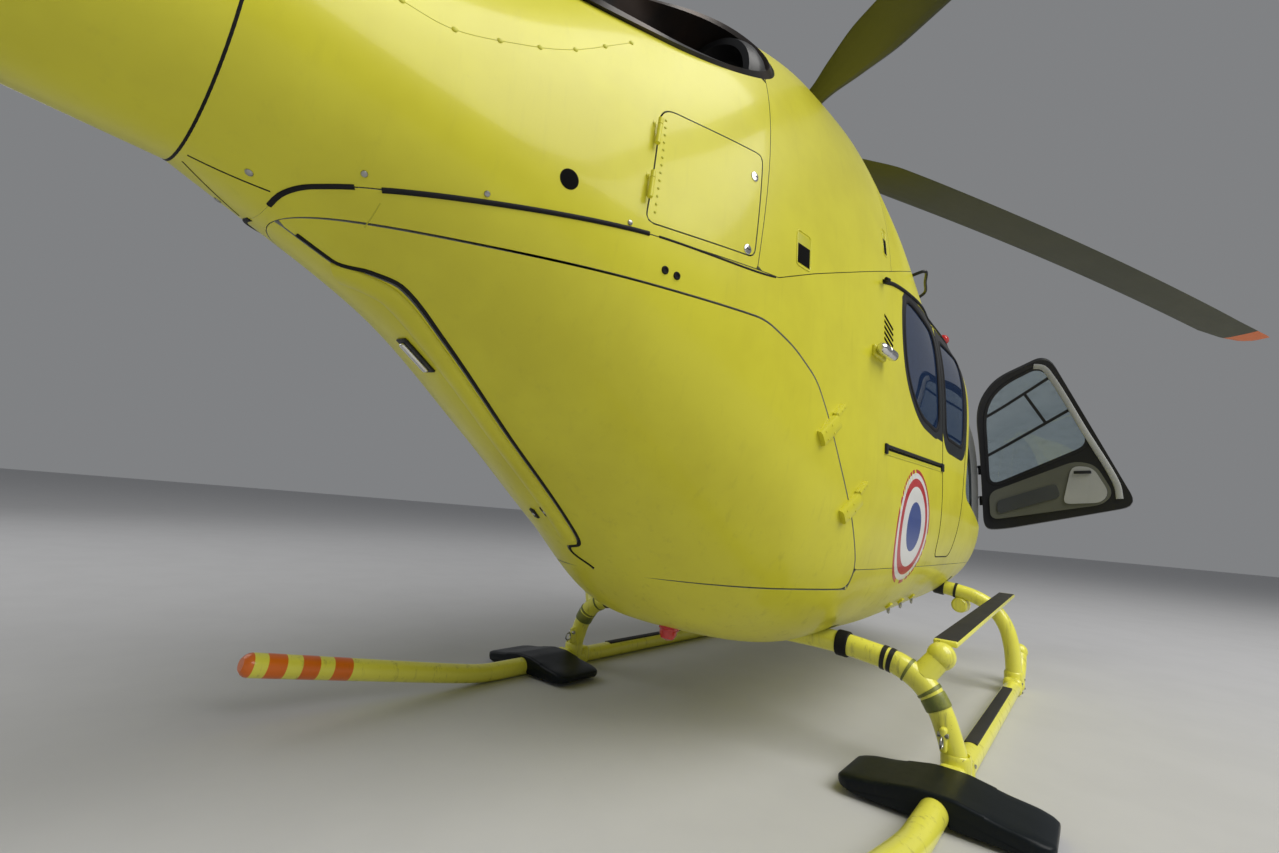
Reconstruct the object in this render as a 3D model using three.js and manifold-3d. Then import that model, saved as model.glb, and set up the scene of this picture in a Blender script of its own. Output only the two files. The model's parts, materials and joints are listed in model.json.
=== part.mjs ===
// A light twin-engined rescue helicopter at full size, in millimetres.
// X points forward, Y to port and Z up. While the parts are drawn, X is zero at the
// aft cross tube of the landing gear; the whole object is moved to its frame at the end.
import * as THREE from "three";
import { mergeVertices } from "three/addons/utils/BufferGeometryUtils.js";
import Module from "manifold-3d";

const wasm = await Module();
wasm.setup();

// Fuselage outline. Columns: station, lowest point, height of the widest point,
// highest point, half width, fullness below and above the widest point.
const FUSELAGE = [
  { x: 3400, low: 1020, belt: 1120, high: 1200, half: 60, under: 2.0, over: 2.0 },
  { x: 3280, low: 840, belt: 1120, high: 1440, half: 330, under: 2.1, over: 2.1 },
  { x: 3050, low: 700, belt: 1140, high: 1740, half: 540, under: 2.2, over: 2.3 },
  { x: 2700, low: 580, belt: 1180, high: 2120, half: 720, under: 2.4, over: 2.8 },
  { x: 2250, low: 490, belt: 1220, high: 2410, half: 815, under: 2.6, over: 3.7 },
  { x: 1700, low: 440, belt: 1280, high: 2500, half: 830, under: 2.6, over: 4.0 },
  { x: 900, low: 430, belt: 1340, high: 2540, half: 820, under: 3.0, over: 3.9 },
  { x: 300, low: 430, belt: 1440, high: 2960, half: 810, under: 3.4, over: 3.3 },
  { x: -200, low: 420, belt: 1540, high: 3040, half: 800, under: 3.4, over: 3.3 },
  { x: -600, low: 490, belt: 1640, high: 3030, half: 760, under: 2.9, over: 3.2 },
  { x: -1050, low: 790, belt: 1740, high: 2930, half: 690, under: 2.4, over: 2.9 },
  { x: -1500, low: 1120, belt: 1810, high: 2730, half: 570, under: 2.2, over: 2.6 },
  { x: -1950, low: 1420, belt: 1870, high: 2460, half: 430, under: 2.05, over: 2.2 },
  { x: -2450, low: 1620, belt: 1920, high: 2220, half: 300, under: 2.0, over: 2.0 },
];
const SKIN = { cabin: 45, cowling: 30, glass: 8, doorGlass: 6 };
const GAP = 0.3;
const DOOR_GAP = 6;
const FLOOR = 800;
const BAY_DROP = 6;

// The raised cowling over the gearbox, standing on the cabin roof.
const HUMP = [
  { x: 1880, high: 2520, half: 330 },
  { x: 1780, high: 2600, half: 430 },
  { x: 1500, high: 2780, half: 520 },
  { x: 1100, high: 2930, half: 570 },
  { x: 600, high: 3035, half: 595 },
  { x: 250, high: 3050, half: 590 },
  { x: -150, high: 2985, half: 530 },
];
const HUMP_BASE = 2380;

// Panel lines in side view, as (x, z).
const DECK_LINE = [
  [-2460, 1575], [-2290, 1580], [-2110, 1620], [-1570, 1710], [-1020, 1760],
  [-810, 1850], [-80, 2140], [160, 2240], [450, 2360], [750, 2415], [1950, 2415],
];
const WINDSHIELD = [
  [3600, 1345], [3200, 1290], [2650, 1165], [2610, 1880], [2500, 2110],
  [2320, 2310], [2200, 2385], [2200, 2700], [3600, 2700],
];
const PILOT_DOOR = [
  [2500, 1050], [2500, 1930], [2450, 2080], [2330, 2220], [1990, 2350], [1575, 1240],
  [2390, 1050],
];
const PILOT_WINDOW = [
  [2425, 1385], [2425, 1910], [2385, 2045], [2290, 2150], [2045, 2262], [1815, 1680],
];
const SLIDING_DOOR = [
  [920, 850], [920, 2215], [1870, 2300], [1430, 1080], [1340, 850],
];
const SLIDING_WINDOW = [
  [1000, 1540], [1000, 2140], [1735, 2205], [1505, 1540],
];
const REAR_WINDOW = [
  [150, 2080], [130, 1880], [200, 1700], [420, 1560], [840, 1530], [840, 2130], [260, 2120],
];
const CLAMSHELL = [
  [-2700, 1520], [-2220, 1552], [-1070, 1600], [-910, 1550], [-760, 1470],
  [-660, 1350], [-410, 1010], [-280, 810], [-280, 720], [-960, 720],
  [-1500, 300], [-2700, 300],
];
const SERVICE_DOOR = [
  [-1556, 1745], [-1530, 2085], [-1500, 2115], [-1118, 2155], [-1146, 1785],
];
const COWL_AFT_EDGE = [[-1134, 1700], [-950, 3300]];
const COWL_FRONT_X = -60;
const SPINE_HALF = 130;
const SEAM_Y = -60;

// Rotors.
const ROTOR = { x: 260, z: 3320, radius: 5100, droop: 350, rest: -31 };
const BLADE_STEP = 90;
const FAN = { x: -5820, z: 1800, radius: 490, hub: 160, duct: 500, y: -60 };
const FAN_ANGLES = [0, 33, 71, 108, 142, 180, 213, 251, 288, 322];
const STATOR_COUNT = 11;

// Landing gear.
const TRACK = 1045;
const TUBE = 47;
const AFT_TUBE = [
  [0, 462], [540, 462], [710, 445], [840, 418], [930, 362], [985, 283], [1020, 190], [1040, 112],
];
const FRONT_TUBE = [
  [0, 632], [500, 632], [700, 608], [830, 579], [930, 522], [1000, 424], [1035, 290], [1045, 112],
];
const FRONT_TUBE_X = 1970;
const SADDLE = { from: 400, to: 480 };
const SKID_Z = 53.836;
const SKID = [
  [2310, 224], [2245, 131], [2140, 71], [2010, SKID_Z], [1900, SKID_Z], [600, SKID_Z],
  [-560, SKID_Z], [-660, 57], [-760, 69], [-1800, 262],
];
const PAW = { x: -255, length: 300, half: 330, foot: 30, crown: 14, passage: 62 };
const STEP = { from: [110, -985, 521.52], to: [2230, -985, 602], width: 95, thick: 26 };
const BALL = { at: [48, -982, 478], radius: 56 };

// Tail boom and tail surfaces.
const BOOM = [
  { x: -2450, radius: 300, z: 1920 }, { x: -3100, radius: 283, z: 1935 },
  { x: -4000, radius: 252, z: 1952 }, { x: -5150, radius: 215, z: 1972 },
];
const FIN = [
  { z: 1188, front: -5690, back: -5960, thick: 110 },
  { z: 1210, front: -5560, back: -6090, thick: 230 },
  { z: 1270, front: -5400, back: -6240, thick: 320 },
  { z: 1400, front: -5250, back: -6390, thick: 380 },
  { z: 1600, front: -5180, back: -6480, thick: 410 },
  { z: 1850, front: -5165, back: -6520, thick: 420 },
  { z: 2100, front: -5190, back: -6560, thick: 400 },
  { z: 2300, front: -5330, back: -6590, thick: 340 },
  { z: 2450, front: -5600, back: -6620, thick: 260 },
  { z: 2650, front: -5830, back: -6650, thick: 200 },
  { z: 3050, front: -6040, back: -6710, thick: 160 },
  { z: 3480, front: -6240, back: -6770, thick: 110 },
  { z: 3510, front: -6300, back: -6760, thick: 50 },
];
const TAILPLANE = { front: -4480, chord: 430, thick: 62, z: 1985, half: 1325 };
const END_PLATE = { low: 1640, high: 2430, chordLow: 420, chordHigh: 430, sweep: 130, thick: 38 };

// Door hinges on the starboard side: two points of each axis, the opening angle, and
// which way the leaf turns about the line from a to b as it opens.
const HINGES = {
  pilot: {
    a: [2512, -800, 1050], b: [2502, -772, 1900], open: 85, turn: 1, radius: 11, seam: 8,
    knuckles: [{ from: 190, to: 240 }, { from: 430, to: 480 }],
  },
  clamshell: {
    a: [-345, -777, 1030], b: [-672, -759, 1420], open: 88, turn: 1, radius: 9, seam: 62,
    knuckles: [{ from: 52, to: 82 }, { from: 400, to: 430 }],
  },
  service: {
    a: [-1570, -568, 1745], b: [-1544, -568, 2090], open: 95, turn: -1, radius: 8, seam: 8,
    knuckles: [{ from: 60, to: 120 }, { from: 230, to: 290 }],
  },
};

const COLOURS = {
  yellow: 0xd9cf2a, black: 0x17181a, dark: 0x2a2c2f, glass: 0x1c2838,
  olive: 0x3a3d22, seat: 0x35506e, metal: 0x9b9ea0,
};

function monotone(xs, ys) {
  const n = xs.length;
  const d = [];
  const h = [];
  for (let i = 0; i < n - 1; i++) {
    h.push(xs[i + 1] - xs[i]);
    d.push((ys[i + 1] - ys[i]) / (xs[i + 1] - xs[i]));
  }
  const m = [d[0]];
  for (let i = 1; i < n - 1; i++) {
    if (d[i - 1] * d[i] <= 0) {
      m.push(0);
      continue;
    }
    const w1 = 2 * h[i] + h[i - 1];
    const w2 = h[i] + 2 * h[i - 1];
    m.push((w1 + w2) / (w1 / d[i - 1] + w2 / d[i]));
  }
  m.push(d[n - 2]);
  return (x) => {
    let i = 0;
    while (i < n - 2 && x > xs[i + 1]) i++;
    const t = (x - xs[i]) / h[i];
    const a = ys[i] * (1 + 2 * t) * (1 - t) * (1 - t);
    const b = m[i] * h[i] * t * (1 - t) * (1 - t);
    const c = ys[i + 1] * t * t * (3 - 2 * t);
    const e = m[i + 1] * h[i] * t * t * (t - 1);
    return a + b + c + e;
  };
}

function tableOf(rows) {
  const sorted = [...rows].sort((p, q) => p.x - q.x);
  const xs = sorted.map((row) => row.x);
  const curves = {};
  for (const key of Object.keys(rows[0])) {
    if (key !== "x") curves[key] = monotone(xs, sorted.map((row) => row[key]));
  }
  return (x) => Object.fromEntries(Object.entries(curves).map(([key, f]) => [key, f(x)]));
}

const bodyAt = tableOf(FUSELAGE);
const humpAt = tableOf(HUMP);

// One fuselage section, inset by a wall thickness, as a ring of points.
function section(x, inset, around) {
  const s = bodyAt(x);
  const half = s.half - inset;
  const ring = [];
  for (let i = 0; i < around; i++) {
    const a = (i / around) * Math.PI * 2;
    const up = Math.sin(a);
    const n = up < 0 ? s.under : s.over;
    const side = Math.sign(Math.cos(a)) * Math.abs(Math.cos(a)) ** (2 / n);
    const rise = Math.abs(up) ** (2 / n);
    const span = up < 0 ? s.belt - s.low - inset : s.high - s.belt - inset;
    ring.push([x, half * side, s.belt + Math.sign(up) * rise * span]);
  }
  return ring;
}

function humpSection(x, inset, around) {
  const s = humpAt(x);
  const ring = [];
  for (let i = 0; i <= around; i++) {
    const a = (i / around) * Math.PI;
    const side = Math.sign(Math.cos(a)) * Math.abs(Math.cos(a)) ** (2 / 3);
    const rise = Math.abs(Math.sin(a)) ** (2 / 3);
    ring.push([x, (s.half - inset) * side, HUMP_BASE + rise * (s.high - inset - HUMP_BASE)]);
  }
  return ring;
}

// A closed skin over rings of equal point count, capped by fans at both ends.
function loft(rings) {
  const n = rings[0].length;
  const position = [];
  const index = [];
  for (const ring of rings) for (const p of ring) position.push(...p);
  for (let r = 0; r < rings.length - 1; r++) {
    for (let i = 0; i < n; i++) {
      const a = r * n + i;
      const b = r * n + ((i + 1) % n);
      const c = a + n;
      const d = b + n;
      index.push(a, b, d, a, d, c);
    }
  }
  for (const [r, flip] of [[0, true], [rings.length - 1, false]]) {
    const c = new THREE.Vector3();
    for (const p of rings[r]) c.add(new THREE.Vector3(...p));
    c.divideScalar(n);
    const centre = position.length / 3;
    position.push(c.x, c.y, c.z);
    for (let i = 0; i < n; i++) {
      const a = r * n + i;
      const b = r * n + ((i + 1) % n);
      if (flip) index.push(centre, b, a);
      else index.push(centre, a, b);
    }
  }
  const g = new THREE.BufferGeometry();
  g.setAttribute("position", new THREE.Float32BufferAttribute(position, 3));
  g.setIndex(index);
  return outward(g);
}

function volumeOf(g) {
  const p = g.attributes.position;
  const id = g.index.array;
  let v = 0;
  const a = new THREE.Vector3();
  const b = new THREE.Vector3();
  const c = new THREE.Vector3();
  for (let i = 0; i < id.length; i += 3) {
    a.fromBufferAttribute(p, id[i]);
    b.fromBufferAttribute(p, id[i + 1]);
    c.fromBufferAttribute(p, id[i + 2]);
    v += a.dot(b.cross(c));
  }
  return v / 6;
}

function outward(g) {
  if (volumeOf(g) < 0) {
    const id = g.index.array;
    for (let i = 0; i < id.length; i += 3) {
      const t = id[i];
      id[i] = id[i + 1];
      id[i + 1] = t;
    }
  }
  return g;
}

function solid(geometry) {
  const g = geometry.clone();
  g.deleteAttribute("normal");
  g.deleteAttribute("uv");
  const m = outward(mergeVertices(g, 0.001));
  return new wasm.Manifold(
    new wasm.Mesh({
      numProp: 3,
      vertProperties: new Float32Array(m.attributes.position.array),
      triVerts: new Uint32Array(m.index.array),
    }),
  );
}

// A side-view outline pushed across the aircraft between two Y values.
function prism(points, y0, y1) {
  const shape = new THREE.Shape(points.map(([x, z]) => new THREE.Vector2(x, z)));
  const g = new THREE.ExtrudeGeometry(shape, { depth: y1 - y0, bevelEnabled: false });
  g.rotateX(Math.PI / 2);
  g.translate(0, y1, 0);
  return solid(g);
}

function box(x0, x1, y0, y1, z0, z1) {
  const g = new THREE.BoxGeometry(x1 - x0, y1 - y0, z1 - z0);
  g.translate((x0 + x1) / 2, (y0 + y1) / 2, (z0 + z1) / 2);
  return solid(g);
}

function rod(a, b, r0, r1, segments) {
  const p = new THREE.Vector3(...a);
  const q = new THREE.Vector3(...b);
  const g = new THREE.CylinderGeometry(r1, r0, p.distanceTo(q), segments);
  const up = new THREE.Vector3(0, 1, 0);
  const turn = new THREE.Quaternion().setFromUnitVectors(up, q.clone().sub(p).normalize());
  g.applyQuaternion(turn);
  const mid = p.add(q).divideScalar(2);
  g.translate(mid.x, mid.y, mid.z);
  return solid(g);
}

// An outline moved outward by d along its own edges; negative d shrinks it.
function grow(points, d) {
  const area = points.reduce((sum, p, i) => {
    const q = points[(i + 1) % points.length];
    return sum + p[0] * q[1] - q[0] * p[1];
  }, 0);
  const s = area > 0 ? 1 : -1;
  const n = points.length;
  return points.map((p, i) => {
    const a = points[(i + n - 1) % n];
    const b = points[(i + 1) % n];
    const u = new THREE.Vector2(p[0] - a[0], p[1] - a[1]).normalize();
    const v = new THREE.Vector2(b[0] - p[0], b[1] - p[1]).normalize();
    const nu = new THREE.Vector2(u.y, -u.x).multiplyScalar(s);
    const nv = new THREE.Vector2(v.y, -v.x).multiplyScalar(s);
    const k = d / (1 + nu.dot(nv));
    return [p[0] + (nu.x + nv.x) * k, p[1] + (nu.y + nv.y) * k];
  });
}

const mirrorY = (m) => m.mirror([0, 1, 0]);

function biggest(m) {
  const pieces = m.decompose();
  return pieces.reduce((best, p) => (p.volume() > best.volume() ? p : best), pieces[0]);
}

function turned(m, axis, degrees) {
  const a = new THREE.Vector3(...axis.a);
  const dir = new THREE.Vector3(...axis.b).sub(a).normalize();
  const t = new THREE.Matrix4().makeTranslation(a.x, a.y, a.z);
  t.multiply(new THREE.Matrix4().makeRotationAxis(dir, THREE.MathUtils.degToRad(degrees)));
  t.multiply(new THREE.Matrix4().makeTranslation(-a.x, -a.y, -a.z));
  return m.transform(t.elements.slice());
}

const range = (a, b, n) => Array.from({ length: n }, (_, i) => a + ((b - a) * i) / (n - 1));

const STATIONS = [
  3400, 3370, 3280, 3160, 3000, 2800, 2560, 2300, 2000, 1600, 1000, 700, 400, 100,
  -250, -500, -750, -1020, -1300, -1600, -1900, -2180, -2450,
];
const AROUND = 36;
const AROUND_INSIDE = 24;

function bodyLoft(inset, from, to, around = AROUND) {
  const step = around < AROUND ? 2 : 1;
  const inside = STATIONS.filter((x, i) => x < from && x > to && i % step === 0);
  return solid(loft([from, ...inside, to].map((x) => section(x, inset, around))));
}

function humpLoft(inset, from, to) {
  const xs = [from, 1780, 1640, 1500, 1300, 1100, 850, 600, 250, to].filter((x) => x <= from);
  return solid(loft([...new Set(xs)].map((x) => humpSection(x, inset, 20))));
}

const nodes = [];
function place(name, m, colour, options = {}) {
  nodes.push({ name, m, colour, ...options });
}

// Fuselage as one outer skin and two hollows.
const outer = bodyLoft(0, 3400, -2450).add(humpLoft(0, 1880, -150));
const deckBelow = (drop) => DECK_LINE.map(([x, z]) => [x, z - drop]);
const bayFloor = [...deckBelow(BAY_DROP).slice(1, -1), [1700, 2415 - BAY_DROP]];
const upperRegion = [...DECK_LINE, [1950, 3400], [-2460, 3400]];
const cabinRoof = [
  ...deckBelow(62).filter(([x]) => x > -2300), [3290, 2353], [3290, FLOOR], [-2290, FLOOR],
];
const cabinHollow = bodyLoft(SKIN.cabin, 3290, -2290, AROUND_INSIDE)
  .intersect(prism(cabinRoof, -1000, 1000));
const roofHollow = bodyLoft(SKIN.cabin, 3290, 2100)
  .intersect(box(1960, 3290, -1000, 1000, 2300, 2600));
const bayHollow = bodyLoft(SKIN.cowling, 1900, -2200, AROUND_INSIDE)
  .add(humpLoft(SKIN.cowling, 1780, -150))
  .intersect(prism([...bayFloor, [1700, 3400], [-2290, 3400]], -1000, 1000));
const shell = outer.subtract(cabinHollow).subtract(roofHollow).subtract(bayHollow);

const innerGlass = bodyLoft(SKIN.glass, 3398, -2440);
const innerDoorGlass = bodyLoft(SKIN.doorGlass, 3398, -2440);
const thinSkin = outer.subtract(innerGlass);
const thinDoorSkin = outer.subtract(innerDoorGlass);

const across = (points) => prism(points, -1000, 1000);

// A bent cross tube of the landing gear, from one skid to the other.
const TUBE_STEPS = 28;
const TUBE_SIDES = 10;
function tube(points, radius, steps, segments) {
  const path = new THREE.CatmullRomCurve3(points.map((p) => new THREE.Vector3(...p)), false, "centripetal");
  const ring = new THREE.Shape(Array.from({ length: segments }, (_, i) => {
    const a = (i / segments) * Math.PI * 2;
    return new THREE.Vector2(radius * Math.cos(a), radius * Math.sin(a));
  }));
  return solid(new THREE.ExtrudeGeometry(ring, { steps, extrudePath: path, bevelEnabled: false }));
}
function arch(x, half, radius) {
  const path = [...half, [TRACK, 50]];
  const whole = [...path.slice(1).reverse().map(([y, z]) => [-y, z]), ...path];
  return tube(whole.map(([y, z]) => [x, y, z]), radius, TUBE_STEPS, TUBE_SIDES);
}

// Lower hull, nose and the fixed frame. The cross tubes lie in slots, held by two saddles each.
const hullRegion = [[-1600, 250], [-1600, 718], [-965, 718], [-275, 718], [-275, FLOOR - GAP],
  [2620, FLOOR - GAP], [2620, 250]];
const noseRegion = [[2620 + GAP, 200], [2620 + GAP, 1158], [2650, 1164], [3200, 1289],
  [3600, 1344], [3600, 200]];
const aftBlank = arch(0, AFT_TUBE, TUBE + GAP);
const frontBlank = arch(FRONT_TUBE_X, FRONT_TUBE, TUBE + GAP);
const saddle = (x) => box(x - 60, x + 60, -SADDLE.to, -SADDLE.from, 190, 900);
const tubeSlot = (x, z) => box(x - 56, x + 56, -900, 900, 200, z + 56)
  .subtract(saddle(x)).subtract(mirrorY(saddle(x)));
const underFloor = bodyLoft(SKIN.cabin + DOOR_GAP, 3290, -2280)
  .intersect(box(-940, -200, -1000, 1000, 716, FLOOR - GAP));
const hull0 = shell.intersect(across(hullRegion)).add(underFloor)
  .subtract(tubeSlot(0, AFT_TUBE[0][1])).subtract(tubeSlot(FRONT_TUBE_X, FRONT_TUBE[0][1]));
let hull = hull0.subtract(aftBlank).subtract(frontBlank);
let frame = shell
  .subtract(across(grow(hullRegion, GAP)))
  .subtract(box(-1000, -200, -1000, 1000, 700, FLOOR))
  .subtract(across(grow(noseRegion, GAP)))
  .subtract(across(grow(upperRegion, GAP)))
  .subtract(prism(grow(WINDSHIELD, GAP), -1000, -32))
  .subtract(prism(grow(WINDSHIELD, GAP), 32, 1000))
  .subtract(across(grow(CLAMSHELL, DOOR_GAP)))
  .subtract(across(grow(PILOT_DOOR, DOOR_GAP)))
  .subtract(across(grow(PILOT_DOOR.slice(2, 6), 2 * DOOR_GAP)))
  .subtract(across(grow(SLIDING_DOOR, GAP)))
  .subtract(across(grow(REAR_WINDOW, GAP)));
const nose = shell.intersect(across(noseRegion));

// The fixed pieces give way to a leaf that swings: its wall is cut away at small angles.
const SWEEP = { frame: [3, 8], hull: [2, 4, 6.5, 8.5, 11] };
const wall = outer.subtract(bodyLoft(SKIN.cabin + 6, 3280, -2280));
function clearSwing(target, outline, inner, hinge, angles) {
  const leaf = biggest(wall.intersect(prism(grow(outline, 3), -1000, inner)));
  let result = target;
  for (const angle of angles) {
    const cut = turned(leaf, hinge, hinge.turn * angle);
    result = result.subtract(cut).subtract(mirrorY(cut));
  }
  return result;
}

// Hinge knuckles on the starboard side: barrels on the axis, the leaf's below the fixed
// one, each with an arm that reaches over the seam or straight into its wall.
function knuckle(hinge, from, to, side) {
  const a = new THREE.Vector3(...hinge.a);
  const u = new THREE.Vector3(...hinge.b).sub(a).normalize();
  const e1 = new THREE.Vector3(1, 0, 0).addScaledVector(u, -u.x).normalize().multiplyScalar(side);
  const e2 = new THREE.Vector3().crossVectors(u, e1);
  if (e2.y < 0) e2.negate();
  const r = hinge.radius;
  const reach = side * hinge.turn < 0 ? hinge.seam : 0;
  const arm = [
    [0, -r], [reach + 12, -r], [reach + 40, 6], [reach + 40, 40], [reach + 10, 40], [reach + 10, -1], [0, -1],
  ];
  const shape = new THREE.Shape(arm.map(([p, q]) => new THREE.Vector2(p, q)));
  const g = new THREE.ExtrudeGeometry(shape, { depth: to - from, bevelEnabled: false });
  const basis = new THREE.Matrix4().makeBasis(e1, e2, u);
  basis.setPosition(a.clone().addScaledVector(u, from));
  g.applyMatrix4(basis);
  const ends = [from, to].map((s) => a.clone().addScaledVector(u, s).toArray());
  return solid(g).add(rod(ends[0], ends[1], r, r, 10));
}
const LUG = 22;
const leafKnuckles = (hinge) => hinge.knuckles
  .map(({ from, to }) => knuckle(hinge, from, to, -hinge.turn))
  .reduce((sum, m) => sum.add(m));
const fixedKnuckles = (hinge) => hinge.knuckles
  .map(({ to }) => knuckle(hinge, to + GAP, to + LUG + GAP, hinge.turn))
  .reduce((sum, m) => sum.add(m));
// What the leaf's knuckles need free around the axis.
const hingeWell = (hinge) => hinge.knuckles.map(({ from, to }) => {
  const a = new THREE.Vector3(...hinge.a);
  const u = new THREE.Vector3(...hinge.b).sub(a).normalize();
  const ends = [from - GAP, to + GAP].map((s) => a.clone().addScaledVector(u, s).toArray());
  return rod(ends[0], ends[1], hinge.radius + 2, hinge.radius + 2, 8);
}).reduce((sum, m) => sum.add(m));
const bothOf = (m) => m.add(mirrorY(m));
const hinged = (target, hinge) =>
  target.subtract(bothOf(hingeWell(hinge))).add(bothOf(fixedKnuckles(hinge)));

frame = clearSwing(frame, CLAMSHELL, SEAM_Y + 1, HINGES.clamshell, SWEEP.frame);
hull = clearSwing(hull, CLAMSHELL, SEAM_Y + 1, HINGES.clamshell, SWEEP.hull);
frame = hinged(hinged(frame, HINGES.clamshell), HINGES.pilot);

place("lower_hull", biggest(hull), COLOURS.yellow);
place("nose_shell", biggest(nose), COLOURS.yellow);
place("cabin_frame", biggest(frame), COLOURS.yellow);

// A pair of like pieces: the starboard one drawn, the port one its mirror image.
function pair(name, right, colour, pose) {
  place(`${name}_right`, pose ? pose(right) : right, colour);
  place(`${name}_left`, mirrorY(right), colour);
}

const pane = (outline, skin, inner) =>
  biggest(skin.intersect(prism(grow(outline, -GAP), -1000, inner)));
const leafOf = (outline, cut) => {
  const leaf = shell.intersect(prism(outline, -1000, 0));
  return biggest(cut ? leaf.subtract(across(cut)) : leaf);
};
const swingOpen = (m) => turned(m, HINGES.pilot, HINGES.pilot.open);

pair("windshield", pane(WINDSHIELD, thinSkin, -32 - GAP), COLOURS.glass);
const pilotLeaf = leafOf(PILOT_DOOR, PILOT_WINDOW)
  .subtract(bodyLoft(8, 3280, 1000).intersect(box(1000, 3000, -1000, 0, 1940, 2600)));
pair("pilot_door", biggest(pilotLeaf).add(leafKnuckles(HINGES.pilot)), COLOURS.black, swingOpen);
pair("pilot_glass", pane(PILOT_WINDOW, thinDoorSkin, 0), COLOURS.glass, swingOpen);
pair("sliding_door", leafOf(SLIDING_DOOR, SLIDING_WINDOW), COLOURS.yellow);
pair("sliding_glass", pane(SLIDING_WINDOW, thinDoorSkin, 0), COLOURS.glass);
pair("rear_window", pane(REAR_WINDOW, thinDoorSkin, 0), COLOURS.glass);

// Clamshell doors meet on a seam a little to starboard of the centre.
const rearDoor = outer.subtract(bodyLoft(SKIN.cabin, 3280, -2290)).intersect(across(CLAMSHELL));
const rearHinges = leafKnuckles(HINGES.clamshell);
place("clamshell_door_right", biggest(rearDoor
  .intersect(box(-3000, 0, -1000, SEAM_Y - DOOR_GAP / 2, 0, 3000)).add(rearHinges)), COLOURS.yellow);
place("clamshell_door_left", biggest(rearDoor
  .intersect(box(-3000, 0, SEAM_Y + DOOR_GAP / 2, 1000, 0, 3000)).add(mirrorY(rearHinges))), COLOURS.yellow);

// Exhaust pipes, cut off a little outside the skin.
const PIPE = { y: -395, z: 2560, outer: 215, inner: 198, front: -975, turnOut: 5 };
const pipeEnd = [-2300, PIPE.y - 1335 * Math.sin((PIPE.turnOut * Math.PI) / 180), PIPE.z + 60];
const pipeStart = [PIPE.front, PIPE.y, PIPE.z];
const pipeAxis = new THREE.Vector3(...pipeEnd).sub(new THREE.Vector3(...pipeStart)).normalize();
const pipeRod = (r, lead = 0) =>
  rod(pipeStart.map((v, i) => v - lead * pipeAxis.getComponent(i)), pipeEnd, r, r, 28);
const pipe = biggest(
  pipeRod(PIPE.outer).subtract(pipeRod(PIPE.inner)).intersect(bodyLoft(-14, -900, -2445)));
const pipeHole = pipeRod(PIPE.outer + GAP, 25);

// Upper pieces above the deck line.
const upper = shell.intersect(across(upperRegion));
const aftSide = [...COWL_AFT_EDGE, [-2600, 3300], [-2600, 1500]];
let tailCone = upper.intersect(across(aftSide))
  .subtract(pipeHole).subtract(mirrorY(pipeHole))
  .subtract(across(grow(SERVICE_DOOR, DOOR_GAP + 2)));
tailCone = hinged(tailCone, HINGES.service);
place("tail_cone", biggest(tailCone), COLOURS.yellow);
pair("service_door", biggest(upper.intersect(prism(SERVICE_DOOR, -1000, 0))
  .add(leafKnuckles(HINGES.service))), COLOURS.yellow);
pair("exhaust_pipe", pipe, COLOURS.dark);

const cowlSide = [
  [COWL_AFT_EDGE[0][0] + 2 * GAP, 1700], [COWL_AFT_EDGE[1][0] + 2 * GAP, 3300],
  [COWL_FRONT_X, 3300], [COWL_FRONT_X, 1700],
];
pair("engine_cowling", biggest(
  upper.intersect(prism(cowlSide, -1000, -SPINE_HALF - GAP)).subtract(pipeHole)), COLOURS.yellow);
const spine = prism([...cowlSide.slice(0, 2), [COWL_FRONT_X + 60, 3300], [COWL_FRONT_X + 60, 1700]],
  -SPINE_HALF, SPINE_HALF);
const foreRegion = box(COWL_FRONT_X + GAP, 1960, -1000, 1000, 1650, 3350).add(spine);
const mastHole = rod([ROTOR.x, 0, 2700], [ROTOR.x, 0, 3300], 150, 150, 28);
place("gearbox_cowling", biggest(upper.intersect(foreRegion).subtract(mastHole)), COLOURS.yellow);

// Power plant, closed in under the cowlings.
const deckTop = (x) => {
  const i = DECK_LINE.findIndex(([px], k) => px <= x && DECK_LINE[k + 1][0] >= x);
  const [a, b] = [DECK_LINE[i], DECK_LINE[i + 1]];
  return a[1] + ((b[1] - a[1]) * (x - a[0])) / (b[0] - a[0]);
};
const onDeck = (from, to, top) => {
  const inner = DECK_LINE.filter(([x]) => x > from && x < to);
  const foot = [[from, deckTop(from)], ...inner, [to, deckTop(to)]];
  return [...foot.map(([x, z]) => [x, z - BAY_DROP + GAP]), [to, top], [from, top]];
};
place("engine_block", prism(onDeck(-950, -110, 2700), -500, 500), COLOURS.metal);
place("main_gearbox", prism(onDeck(60, 460, 2890), -230, 230), COLOURS.metal);

// Rotor: fixed housing, turning hub and four blades.
const lathe = (profile, segments) => {
  const g = new THREE.LatheGeometry(profile.map(([r, z]) => new THREE.Vector2(r, z)), segments);
  g.rotateX(Math.PI / 2);
  return solid(g);
};
const at = (m, x, y, z) => m.translate([x, y, z]);
place("mast_housing", at(lathe([[0, 2890 + GAP], [125, 2890 + GAP], [118, 3030], [96, 3120], [0, 3120]], 32),
  ROTOR.x, 0, 0), COLOURS.dark);
let hub = lathe([[0, 3120 + GAP], [72, 3120 + GAP], [66, 3230], [130, 3270], [205, 3290], [205, 3345], [120, 3375],
  [60, 3400], [0, 3405]], 32);
hub = at(hub, ROTOR.x, 0, 0);
const hubBlank = at(lathe([[0, 3260], [130 + GAP, 3270 - GAP], [205 + GAP, 3290 - GAP],
  [205 + GAP, 3345 + GAP], [120 + GAP, 3375 + GAP], [0, 3390]], 32), ROTOR.x, 0, 0);
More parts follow.
